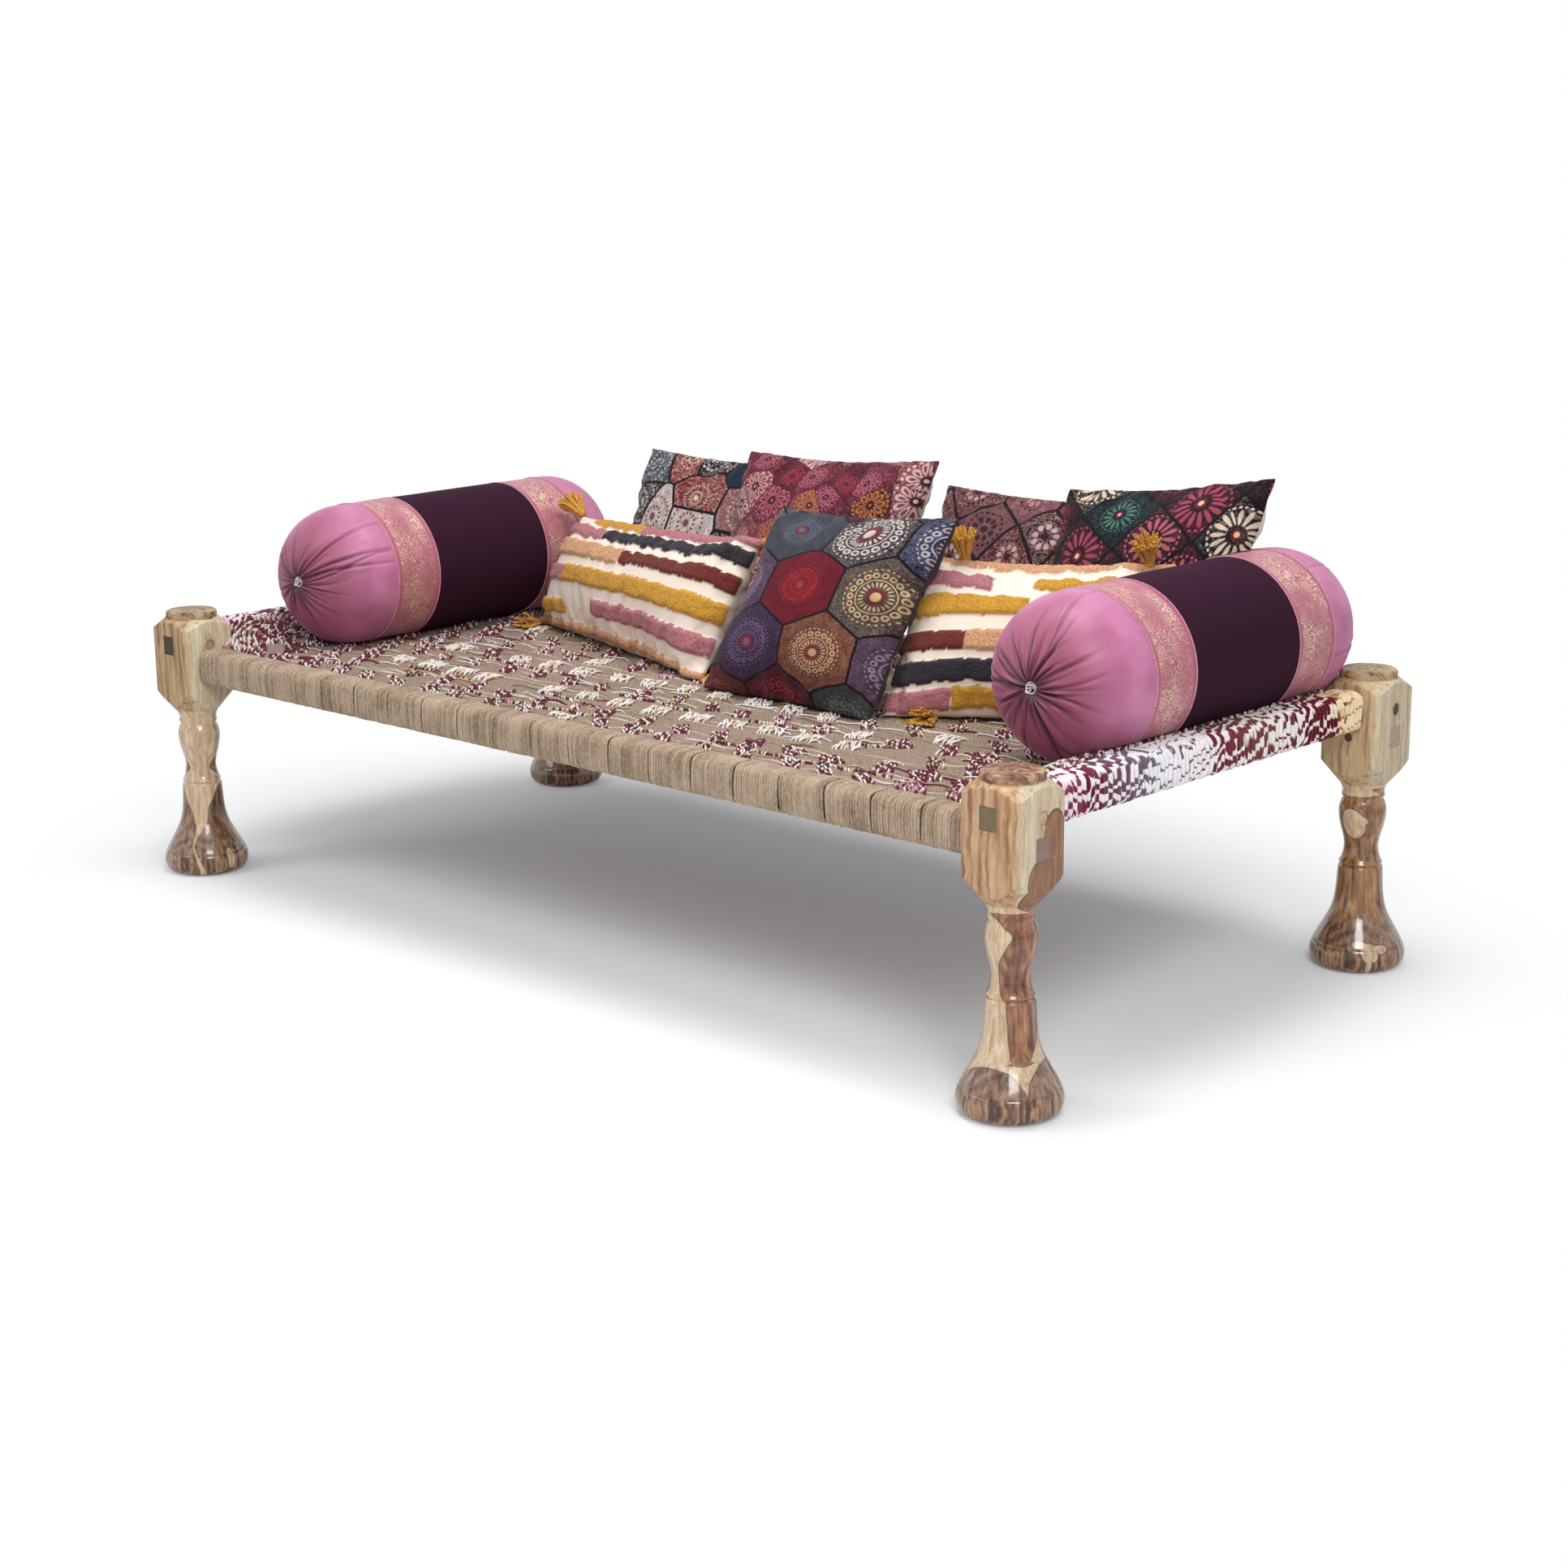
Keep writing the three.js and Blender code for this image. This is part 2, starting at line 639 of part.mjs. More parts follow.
// The cushions are made to suit the bed. Each stands on its lower seam, whose two ends are places on the deck: shares
// of the clear length between the bolsters, from the left, and of the bed's width. It leans back. Its side seams have
// their height and its faces their thickness in shares of that width, a lean in degrees, and a sideways slip of
// their tops as a share of the lower seam.
const clearFrom = bolsters[0].x + bolsterRadius;
const clearLength = bolsters[1].x - bolsterRadius - clearFrom;
const cushions = [
  {
    name: 'cushion_striped_left',
    seamShares: [[0.0092, 0.144], [0.4615, -0.0666]],
    thicknessShare: 0.1502,
    left: { heightShare: 0.2476, lean: 25, slipShare: 0 },
    right: { heightShare: 0.2933, lean: 28, slipShare: 0 },
    stripeShares: [0.06, 0.2, 0.36, 0.52, 0.69, 0.85],
  },
  {
    name: 'cushion_hexagon',
    seamShares: [[0.4931, -0.1106], [0.7771, -0.1286]],
    thicknessShare: 0.1442,
    left: { heightShare: 0.3774, lean: 29, slipShare: 0.0782 },
    right: { heightShare: 0.3918, lean: 26, slipShare: 0.1341 },
  },
  {
    name: 'cushion_striped_right',
    seamShares: [[0.7683, -0.08], [1.0501, 0.1468]],
    thicknessShare: 0.1262,
    left: { heightShare: 0.3029, lean: 29, slipShare: 0.0597 },
    right: { heightShare: 0.3005, lean: 29, slipShare: 0.0299 },
    stripeShares: [0.06, 0.22, 0.38, 0.54, 0.7, 0.86],
  },
  {
    name: 'cushion_floral',
    seamShares: [[0.288, 0.1803], [0.6159, 0.1803]],
    thicknessShare: 0.1322,
    left: { heightShare: 0.4195, lean: 24, slipShare: 0 },
    right: { heightShare: 0.4375, lean: 24, slipShare: 0 },
  },
  {
    name: 'cushion_daisy',
    seamShares: [[0.8025, 0.2284], [1.0908, 0.2284]],
    thicknessShare: 0.1262,
    left: { heightShare: 0.399, lean: 24, slipShare: 0 },
    right: { heightShare: 0.4435, lean: 24, slipShare: 0 },
  },
  {
    name: 'cushion_patchwork',
    seamShares: [[0.0385, 0.2788], [0.3561, 0.2788]],
    thicknessShare: 0.1142,
    left: { heightShare: 0.3858, lean: 24, slipShare: 0 },
    right: { heightShare: 0.3858, lean: 24, slipShare: 0 },
  },
  {
    name: 'cushion_diamond',
    seamShares: [[0.5648, 0.3245], [0.8824, 0.3245]],
    thicknessShare: 0.1082,
    left: { heightShare: 0.3666, lean: 24, slipShare: 0 },
    right: { heightShare: 0.3666, lean: 24, slipShare: 0 },
  },
];

// A cushion's frame: its corner points, and the ways across it and out of its face
function cushionFrame(cushion) {
  const [lowerLeft, lowerRight] = cushion.seamShares.map(([alongShare, acrossShare]) => {
    const x = clearFrom + alongShare * clearLength;
    const y = acrossShare * legSpacingWide;
    return new THREE.Vector3(x, y, deckTop(x, y) + seatGap - seamSinkDepth);
  });
  const seam = lowerRight.clone().sub(lowerLeft).setZ(0);
  const along = seam.clone().normalize();
  const up = new THREE.Vector3(0, 0, 1);
  const back = up.clone().cross(along);
  const rise = (corner, side) => {
    const height = side.heightShare * legSpacingWide;
    return corner
      .clone()
      .addScaledVector(seam, side.slipShare)
      .addScaledVector(back, height * Math.sin(side.lean * degree))
      .addScaledVector(up, height * Math.cos(side.lean * degree));
  };
  const upperLeft = rise(lowerLeft, cushion.left);
  const upperRight = rise(lowerRight, cushion.right);
  const lean = ((cushion.left.lean + cushion.right.lean) / 2) * degree;
  const out = back.clone().multiplyScalar(-Math.cos(lean)).addScaledVector(up, Math.sin(lean));
  return { lowerLeft, lowerRight, upperLeft, upperRight, along, back, out };
}

// A point on the surface midway between a cushion's faces, whose sides draw in between the corners
function middlePoint(frame, across, up) {
  const acrossIn = 0.5 + (across - 0.5) * (1 - sideDrawShare * 4 * up * (1 - up));
  const upIn = 0.5 + (up - 0.5) * (1 - endDrawShare * 4 * across * (1 - across));
  const lower = frame.lowerLeft.clone().lerp(frame.lowerRight, acrossIn);
  const upper = frame.upperLeft.clone().lerp(frame.upperRight, acrossIn);
  return lower.lerp(upper, upIn);
}

// Two crowned faces on one seam. A margin grows the cushion all round.
function cushionGeometry(cushion, margin) {
  const frame = cushionFrame(cushion);
  const columns = Array.from({ length: cushionColumns + 1 }, (_, column) => column / cushionColumns);
  const rows = tuftRows(cushion);
  const crown = (share) => (4 * share * (1 - share)) ** crownPower;
  const point = (across, up, side) => {
    const swell = ((cushion.thicknessShare * legSpacingWide) / 2 + margin) * crown(across) * crown(up);
    const tuft = side > 0 ? tuftAt(cushion, up) * crown(across) : 0;
    return middlePoint(frame, across, up)
      .addScaledVector(frame.out, side * swell + tuft)
      .addScaledVector(frame.along, 2 * margin * (across - 0.5))
      .addScaledVector(cushionLift, 2 * margin * (up - 0.5))
      .toArray();
  };
  return pillow(columns, rows, point);
}

// Rows of the grid: even ones, or for a tufted cushion both edges of each raised stripe
function tuftRows(cushion) {
  if (!cushion.stripeShares) return Array.from({ length: cushionRows + 1 }, (_, row) => row / cushionRows);
  const rows = [0, 1];
  for (const stripe of cushion.stripeShares) {
    const end = stripe + stripeWidthShare;
    rows.push(stripe, stripe + tuftSlopeShare, end - tuftSlopeShare, end);
  }
  return rows.sort((a, b) => a - b);
}

function tuftAt(cushion, up) {
  if (!cushion.stripeShares) return 0;
  const inside = (stripe) =>
    Math.min(up - stripe, stripe + stripeWidthShare - up) > tuftSlopeShare / 2 ? tuftHeight : 0;
  return Math.max(...cushion.stripeShares.map(inside));
}

// A closed grid of two faces that share their rim; each diagonal runs out of its own corner of the cushion
function pillow(columns, rows, point) {
  const points = [];
  const sides = [[], []];
  for (const [index, side] of [[0, 1], [1, -1]]) {
    rows.forEach((up, row) => {
      columns.forEach((across, column) => {
        const rim = row === 0 || column === 0 || row === rows.length - 1 || column === columns.length - 1;
        const place = row * columns.length + column;
        if (rim && index === 1) {
          sides[1][place] = sides[0][place];
          return;
        }
        sides[index][place] = points.length;
        points.push(point(across, up, side));
      });
    });
  }
  const triangles = [];
  for (let row = 0; row + 1 < rows.length; row += 1) {
    for (let column = 0; column + 1 < columns.length; column += 1) {
      const here = row * columns.length + column;
      const corners = [here, here + 1, here + 1 + columns.length, here + columns.length];
      const rising = (columns[column] < 0.5) === (rows[row] + rows[row + 1] < 1);
      const order = rising ? corners : [corners[1], corners[2], corners[3], corners[0]];
      const [a, b, c, d] = order.map((corner) => sides[0][corner]);
      const [e, f, g, h] = order.map((corner) => sides[1][corner]);
      triangles.push([a, b, c], [a, c, d], [e, g, f], [e, h, g]);
    }
  }
  const geometry = new THREE.BufferGeometry();
  geometry.setAttribute('position', new THREE.Float32BufferAttribute(points.flat(), 3));
  geometry.setIndex(triangles.flat());
  return geometry;
}

// Front pieces come first. Each cushion stays clear of the ways that the pieces before it are lifted off along.
const bolsterRoom = bolsters[0].keepOut.add(bolsters[1].keepOut);
let occupied = softFloor.add(bolsterRoom);
for (const cushion of cushions) {
  const solid = solidOf(cushionGeometry(cushion, 0)).subtract(occupied);
  add(cushion.name, solid, cushion.stripeShares ? tuftedCotton : printedCotton);
  cushion.room = solidOf(cushionGeometry(cushion, neighbourGap));
  cushion.keepOut = swept(cushion.room, cushionLift, -liftReachLength, liftReachLength);
  occupied = occupied.add(cushion.keepOut);
}

// A tassel: a knot and a skirt of yarn, from its fixed end, as shares of its radii and its length
const tasselKnotShares = [[0, 0], [0.75, 0.04], [1, 0.13], [0.62, 0.26]];
const tasselSkirtShares = [[0.72, 0.42], [1, 0.92], [0.85, 1], [0, 1]];
const tasselProfile = [
  ...tasselKnotShares.map(([radiusShare, reachShare]) => [radiusShare * tasselKnotRadius, reachShare * tasselLength]),
  ...tasselSkirtShares.map(([radiusShare, reachShare]) => [radiusShare * tasselRadius, reachShare * tasselLength]),
];

// Each tassel's cushion and name, the place across and up the cushion where it is sewn, and the way it lies from there
const tassels = [
  ['striped_left', 'lower_left', 0, 0, [0.2, -0.96, 0.2]],
  ['striped_left', 'upper_left', 0, 1, [-0.85, 0.2, 0.5]],
  ['striped_left', 'lower_right', 1, 0, [0.3, 0.93, 0.25]],
  ['striped_left', 'upper_right', 1, 1, [0.25, 0.9, -0.35]],
  ['striped_right', 'lower_left', 0.2, 0, [0.3, -0.94, 0.2]],
  ['striped_right', 'upper_left', 0.2, 1, [0.1, -0.3, 0.95]],
  ['striped_right', 'lower_right', 0.78, 0, [-0.25, 0.95, 0.3]],
  ['striped_right', 'upper_right', 0.9, 1, [0.2, -0.5, 0.85]],
];
for (const [owner, name, across, up, way] of tassels) {
  const cushion = cushions.find((candidate) => candidate.name === `cushion_${owner}`);
  const direction = new THREE.Vector3(...way).normalize();
  const start = middlePoint(cushionFrame(cushion), across, up).addScaledVector(direction, seatGap);
  const aim = new THREE.Matrix4().makeRotationFromQuaternion(
    new THREE.Quaternion().setFromUnitVectors(new THREE.Vector3(0, 0, 1), direction),
  );
  let yarn = placed(turned(tasselProfile, tasselFacets), aim, shift(...start.toArray()));
  yarn = yarn.subtract(softFloor).subtract(bolsterRoom).subtract(cushion.room);
  for (const other of cushions) if (other !== cushion) yarn = yarn.subtract(other.keepOut);
  add(`tassel_${owner}_${name}`, yarn, mustardYarn);
}

export default charpai;
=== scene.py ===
import math
import random
from functools import partial

import bmesh
import bpy
import numpy as np
from mathutils import Matrix, Vector, noise
from mathutils.bvhtree import BVHTree


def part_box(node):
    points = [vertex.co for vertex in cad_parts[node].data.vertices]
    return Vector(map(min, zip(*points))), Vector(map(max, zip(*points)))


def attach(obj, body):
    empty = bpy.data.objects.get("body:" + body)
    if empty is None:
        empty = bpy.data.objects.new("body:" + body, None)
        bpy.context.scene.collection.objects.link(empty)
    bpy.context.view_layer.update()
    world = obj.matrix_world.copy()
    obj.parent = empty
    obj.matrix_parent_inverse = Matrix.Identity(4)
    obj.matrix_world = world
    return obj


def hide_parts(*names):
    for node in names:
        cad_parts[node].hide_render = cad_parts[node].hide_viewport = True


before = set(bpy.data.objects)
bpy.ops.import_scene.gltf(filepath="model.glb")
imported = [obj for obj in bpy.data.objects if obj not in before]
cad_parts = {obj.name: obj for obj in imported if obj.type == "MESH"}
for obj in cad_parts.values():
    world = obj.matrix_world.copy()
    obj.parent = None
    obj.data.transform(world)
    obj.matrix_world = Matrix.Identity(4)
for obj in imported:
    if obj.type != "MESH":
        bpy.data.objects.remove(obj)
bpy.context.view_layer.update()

mm = 0.001
mergeReach = 1e-6  # points nearer than this are one


def linear(hexColour):
    # sRGB hex to linear
    parts = [int(hexColour[start:start + 2], 16) / 255 for start in (1, 3, 5)]
    return [*(part / 12.92 if part <= 0.04045 else ((part + 0.055) / 1.055) ** 2.4 for part in parts), 1]


def addNode(tree, kind, *values, named=None, stops=None, blend="LINEAR", give=None, **settings):
    # adds a node (its kind may name an operation), fills its sockets in order or by name, gives one output
    kind, _, operation = kind.partition(" ")
    made = tree.nodes.new("ShaderNode" + kind)
    if operation:
        settings["data_type" if kind == "Mix" else "operation"] = operation
    for name, value in settings.items():
        setattr(made, name, value)
    if stops:
        ramp = made.color_ramp
        ramp.interpolation = blend
        while len(ramp.elements) < len(stops):
            ramp.elements.new(0.5)
        for element, (place, colour) in zip(ramp.elements, stops):
            element.position = place
            element.color = linear(colour) if isinstance(colour, str) else [*np.resize(colour, 3), 1]
    usable = [socket for socket in made.inputs if socket.enabled]
    pairs = [*zip(usable, values), *((made.inputs[name], value) for name, value in (named or {}).items())]
    for socket, value in pairs:
        if isinstance(value, bpy.types.NodeSocket):
            tree.links.new(value, socket)
        else:
            socket.default_value = linear(value) if isinstance(value, str) else value
    return made.outputs[give] if give else next((socket for socket in made.outputs if socket.enabled), None)


def newFinish(name):
    # a material, and what adds a node to it
    material = bpy.data.materials.new(name)
    material.use_nodes = True
    material.node_tree.nodes.clear()
    return material, partial(addNode, material.node_tree)


def closeFinish(node, relief=None, **settings):
    # the surface itself: its settings by name, and its relief as a height, a strength and a depth
    sockets = {"colour": "Base Color", "roughness": "Roughness", "normal": "Normal", "ior": "IOR",
               "coat": "Coat Weight", "coatRoughness": "Coat Roughness", "sheen": "Sheen Weight",
               "sheenRoughness": "Sheen Roughness", "sheenTint": "Sheen Tint", "metallic": "Metallic",
               "specular": "Specular IOR Level"}
    if relief:
        settings["normal"] = node("Bump", named=dict(zip(("Height", "Strength", "Distance"), relief)))
    shader = node("BsdfPrincipled", named={sockets[key]: value for key, value in settings.items()})
    node("OutputMaterial", shader)


def shaded(node, colour, tone):
    # a colour made darker or lighter by a pattern
    return node("Mix RGBA", 1.0, colour, tone, blend_type="MULTIPLY")


def weighed(node, *parts):
    # patterns added up, each by its weight
    total = 0
    for pattern, weight in parts:
        total = node("Math MULTIPLY_ADD", pattern, weight, total)
    return total


def newObject(source, name):
    # an object from its data, or from a bmesh, which is used up
    if isinstance(source, bmesh.types.BMesh):
        mesh = bpy.data.meshes.new(name)
        source.to_mesh(mesh)
        source.free()
        source = mesh
    made = bpy.data.objects.new(name, source)
    bpy.context.scene.collection.objects.link(made)
    return made


def newPiece(source, name, body, slot, *finishes):
    # a finished piece that rides on a body
    piece = newObject(source, name)
    for finish in finishes:
        piece.data.materials.append(finish)
    piece.data.polygons.foreach_set("use_smooth", [True] * len(piece.data.polygons))
    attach(piece, body)
    return piece


def meshWithModifiers(piece):
    graph = bpy.context.evaluated_depsgraph_get()
    return bpy.data.meshes.new_from_object(piece.evaluated_get(graph), depsgraph=graph)


def applyModifiers(piece):
    shape = meshWithModifiers(piece)
    piece.modifiers.clear()
    piece.data = shape


def pointsOf(mesh):
    points = np.empty(len(mesh.vertices) * 3)
    mesh.vertices.foreach_get("co", points)
    return points.reshape(-1, 3)


def setPoints(mesh, points):
    mesh.vertices.foreach_set("co", points.ravel())
    mesh.update()


def closeShape(work):
    # one closed skin that faces outwards
    bmesh.ops.remove_doubles(work, verts=work.verts, dist=mergeReach)
    bmesh.ops.recalc_face_normals(work, faces=work.faces)


def spunPiece(profile, steps):
    # a profile of (radius, height) turned once round Z
    work = bmesh.new()
    points = [work.verts.new((radius, 0, height)) for radius, height in profile]
    edges = [work.edges.new(pair) for pair in zip(points, points[1:])]
    bmesh.ops.spin(work, geom=points + edges, cent=(0, 0, 0), axis=(0, 0, 1), angle=math.tau, steps=steps,
                   use_merge=True)
    closeShape(work)
    return work


def spunRing(work, place, radius, tube, sides, steps):
    # a ring round the Z axis of its place
    circle = bmesh.ops.create_circle(work, segments=sides, radius=tube, matrix=place @ Matrix.Translation(
        (radius, 0, 0)) @ Matrix.Rotation(math.pi / 2, 4, "X"))["verts"]
    edges = list(dict.fromkeys(edge for vert in circle for edge in vert.link_edges))
    bmesh.ops.spin(work, geom=circle + edges, cent=place.translation, axis=place.to_3x3() @ Vector((0, 0, 1)),
                   angle=math.tau, steps=steps, use_merge=True)


def ropeMesh(lines, finishes, place=Matrix(), sides=1):
    # round strands along lines of (points, radii, number of the finish)
    curve = bpy.data.curves.new("rope", "CURVE")
    curve.dimensions = "3D"
    curve.bevel_depth = 1
    curve.bevel_resolution = sides
    curve.use_fill_caps = True
    for finish in finishes:
        curve.materials.append(finish)
    for points, radii, finish in lines:
        spline = curve.splines.new("POLY")
        spline.points.add(len(points) - 1)
        spline.points.foreach_set("co", [value for point in points for value in (*point, 1)])
        spline.points.foreach_set("radius", [float(value) for value in np.resize(radii, len(points))])
        spline.material_index = finish
    line = newObject(curve, "rope")
    mesh = meshWithModifiers(line)
    bpy.data.objects.remove(line)
    mesh.transform(place)
    return mesh


# Camera, where the photograph was taken from
view = {"azimuth": 43.41, "elevation": 13.83, "roll": -0.63, "distance": 4.14144, "lens": 60.59, "sensor": 36,
        "target": (0.09316, 0.00275, 0.226)}
azimuth, elevation, roll = (math.radians(view[key]) for key in ("azimuth", "elevation", "roll"))
level = Vector((math.sin(azimuth), -math.cos(azimuth), 0))
backward = level * math.cos(elevation) + Vector((0, 0, math.sin(elevation)))
right = Vector((math.cos(azimuth), math.sin(azimuth), 0))
up = backward.cross(right)
axes = right * math.cos(roll) + up * math.sin(roll), up * math.cos(roll) - right * math.sin(roll), backward
lens = bpy.data.cameras.new("camera")
lens.lens = view["lens"]
lens.sensor_width = view["sensor"]
camera = newObject(lens, "camera")
camera.matrix_world = Matrix.Translation(Vector(view["target"]) + backward * view["distance"]) @ Matrix(
    axes).transposed().to_4x4()
bpy.context.scene.camera = camera
bpy.context.scene.view_settings.view_transform = "Standard"

# Studio: an even white surround, one large lamp overhead and weaker ones from the right and the left front,
# each with its place, size and watts
studio = {"surround": 0.32, "lookAt": (0.1, 0, 0.35),
          "lamps": [((0.3, -0.2, 3.0), 1.5, 48), ((2.7, -2.0, 2.6), 1.3, 58), ((-1.9, -2.8, 3.0), 1.8, 32)]}
world = bpy.data.worlds.new("surround")
bpy.context.scene.world = world
world.use_nodes = True
world.node_tree.nodes.clear()
node = partial(addNode, world.node_tree)
ray = node("LightPath").node.outputs
seen = node("Math MAXIMUM", ray["Is Camera Ray"], ray["Is Glossy Ray"])
seen = node("Math MAXIMUM", seen, ray["Is Transmission Ray"])
node("OutputWorld", node("Background", "#ffffff", node("MapRange", seen, 0, 1, studio["surround"], 1)))
for place, size, watts in studio["lamps"]:
    light = bpy.data.lights.new("softbox", "AREA")
    light.size = size
    light.energy = watts
    lamp = newObject(light, "softbox")
    lamp.location = place
    lamp.rotation_euler = (Vector(studio["lookAt"]) - Vector(place)).to_track_quat("-Z", "Y").to_euler()

# White studio floor that keeps the shadow near the bed and fades to pure white further out
ground = {"paint": "#f9fafb", "lift": "#e2edff", "liftStrength": 0.09, "stretch": (1, 1.35, 1),
          "fade": (0.90, 1.55), "size": 30}
floorFinish, node = newFinish("paintedStudioFloor")
cameraRay = node("LightPath", give="Is Camera Ray")
away = node("VectorMath MULTIPLY", node("NewGeometry", give="Position"), ground["stretch"])
away = node("VectorMath LENGTH", away, give="Value")
fade = node("MapRange", away, *ground["fade"], 0, 1, interpolation_type="SMOOTHSTEP")
fade = node("Math MULTIPLY", fade, cameraRay)
lift = node("Emission", ground["lift"], node("Math MULTIPLY", cameraRay, ground["liftStrength"]))
paint = node("AddShader", node("BsdfDiffuse", ground["paint"]), lift)
node("OutputMaterial", node("MixShader", fade, paint, node("Emission", "#ffffff", 1)))
work = bmesh.new()
bmesh.ops.create_grid(work, x_segments=2, y_segments=2, size=ground["size"])
floor = newObject(work, "floor")
floor.data.materials.append(floorFinish)
print("camera, lamps and floor are set")


# The bed's sizes, as its solids have them, in metres
bed = {"long": 1.760, "wide": 0.832, "height": 0.450, "blockTop": 0.438, "blockBottom": 0.281,
       "sideLevel": 0.360, "endLevel": 0.398, "deckSide": 0.3863, "deckEnd": 0.4263, "deckHalfLong": 0.868,
       "deckHalfWide": 0.404, "sag": 0.004, "ramp": 0.150, "hem": 0.070}


def smoothShare(share):
    share = np.clip(share, 0, 1)
    return share * share * (3 - 2 * share)


def deckTop(x, y):
    climb = smoothShare((np.abs(x) - bed["deckHalfLong"] + bed["ramp"]) / bed["ramp"])
    hem = smoothShare((bed["deckHalfWide"] - np.abs(y)) / bed["hem"])
    across = np.clip(np.abs(y) / bed["deckHalfWide"], 0, 1)
    along = np.clip(np.abs(x) / bed["deckHalfLong"], 0, 1)
    sag = bed["sag"] * (1 - across ** 2) * (1 - along ** 2)
    return bed["deckSide"] + (bed["deckEnd"] - bed["deckSide"]) * climb * hem - sag


def keptAbove(work, clear):
    # lifts what would sink into the deck
    for vert in work.verts:
        vert.co.z = max(vert.co.z, float(deckTop(vert.co.x, vert.co.y)) + clear)


# Sheesham legs: glossy brown heartwood with cream sapwood, cut from small logs so each leg shows both.
# heart: height in metres, then the left and right edge of one wood in degrees round from the camera's side
# (the cream one where flipped); lobes and pale: ellipses of heartwood or sapwood as degrees round, height,
# half sizes. The turning is radius and height, as shares of the foot's radius and the block's lower edge.
legTurning = {"footRadius": 0.070, "turns": 72, "rounds": 3, "widest": 220, "faceAngle": 46.6,
              "sharpAngle": 32, "shares": [
    (0, 0), (0.743, 0), (0.886, 0.014), (0.971, 0.039), (1, 0.071), (0.993, 0.096), (0.95, 0.128),
    (0.921, 0.1325), (0.936, 0.137), (0.843, 0.181), (0.714, 0.238), (0.6, 0.295), (0.529, 0.356),
    (0.493, 0.427), (0.471, 0.52), (0.457, 0.544), (0.421, 0.553), (0.45, 0.566), (0.4, 0.591),
    (0.357, 0.65), (0.386, 0.705), (0.443, 0.754), (0.486, 0.811), (0.493, 0.854), (0.457, 0.89),
    (0.421, 0.915), (0.45, 0.93), (0.436, 0.954), (0.471, 0.982), (0.514, 1.004), (0, 1.004)]}
legs = {
    "front_right": {
        "seed": 3.1, "block": ("#8f6846", "#c09670"), "paleSide": 2, "top": "#8d654e",
        "tones": ("#4a2a1b", "#8a5638", "#bb8659"), "flipped": False,
        "heart": [(0, 200, -200), (0.069, 200, -200), (0.074, 14, 15), (0.079, -2, 31), (0.088, -7, 42),
                  (0.10, -9, 56), (0.12, -12, 74), (0.155, -16, 105), (0.165, -31, 115), (0.19, -44, 125),
                  (0.215, -28, 125), (0.232, -11, 120), (0.243, -5, 115), (0.252, -21, 115),
                  (0.262, -38, 115), (0.270, -40, 115), (0.274, 200, -200), (0.45, 200, -200)],
        "lobes": [(-38, 0, 0.072, 0.071), (78, 0, 0.080, 0.0756), (0, 0, 1, 0.036), (190, 0.1, 0.05, 0.12),
                  (72, 0.362, 0.021, 0.040), (70, 0.310, 0.054, 0.040)],
        "pale": [(120, 0.39, 0.02, 0.03)]},
    "front_left": {
        "seed": 8.4, "block": ("#86684a", "#b3946c"), "paleSide": 4, "top": "#9c866a",
        "tones": ("#42281a", "#7a5138", "#a27c5c"), "flipped": True,
        "heart": [(0, 0, 12), (0.02, 0, 8), (0.04, -6, -1), (0.055, -12, -7), (0.07, -9, 4), (0.089, -8, 19),
                  (0.12, -32, 32), (0.148, -60, 62), (0.16, -95, 95), (0.17, -62, 70), (0.181, -36, 46),
                  (0.2, -74, 78), (0.215, -130, 130), (0.24, -200, 200), (0.45, -200, 200)],
        "lobes": [], "pale": [(48, 0.03, 0.008, 0.02)]},
    "back_right": {
        "seed": 5.7, "block": ("#9c7c54", "#cbb089"), "paleSide": -4, "top": "#b1966f",
        "tones": ("#4e3020", "#96683f", "#c2935f"), "flipped": False,
        "heart": [(0, -200, 200), (0.262, -200, 200), (0.264, 25, 200), (0.276, 20, 200), (0.279, 200, -200),
                  (0.45, 200, -200)],
        "lobes": [], "pale": [(-36, 0.222, 0.019, 0.024), (-12, 0.229, 0.010, 0.007),
                              (4, 0.034, 0.013, 0.014), (-9, 0.045, 0.012, 0.006),
                              (18, 0.040, 0.012, 0.006), (2, 0.012, 0.004, 0.02)]},
    "back_left": {
        "seed": 1.9, "block": ("#86684a", "#b3946c"), "paleSide": 90, "top": "#927a60",
        "tones": ("#382318", "#6e4a33", "#95704f"), "flipped": False,
        "heart": [(0, -200, 200), (0.19, -200, 200), (0.20, -40, 200), (0.25, -60, 200), (0.27, 200, -200),
                  (0.45, 200, -200)],
        "lobes": [], "pale": [(150, 0.1, 0.03, 0.1)]},
}
for corner, leg in legs.items():
    leg["x"] = bed["long"] / 2 * (1 if "right" in corner else -1)
    leg["y"] = bed["wide"] / 2 * (1 if "back" in corner else -1)


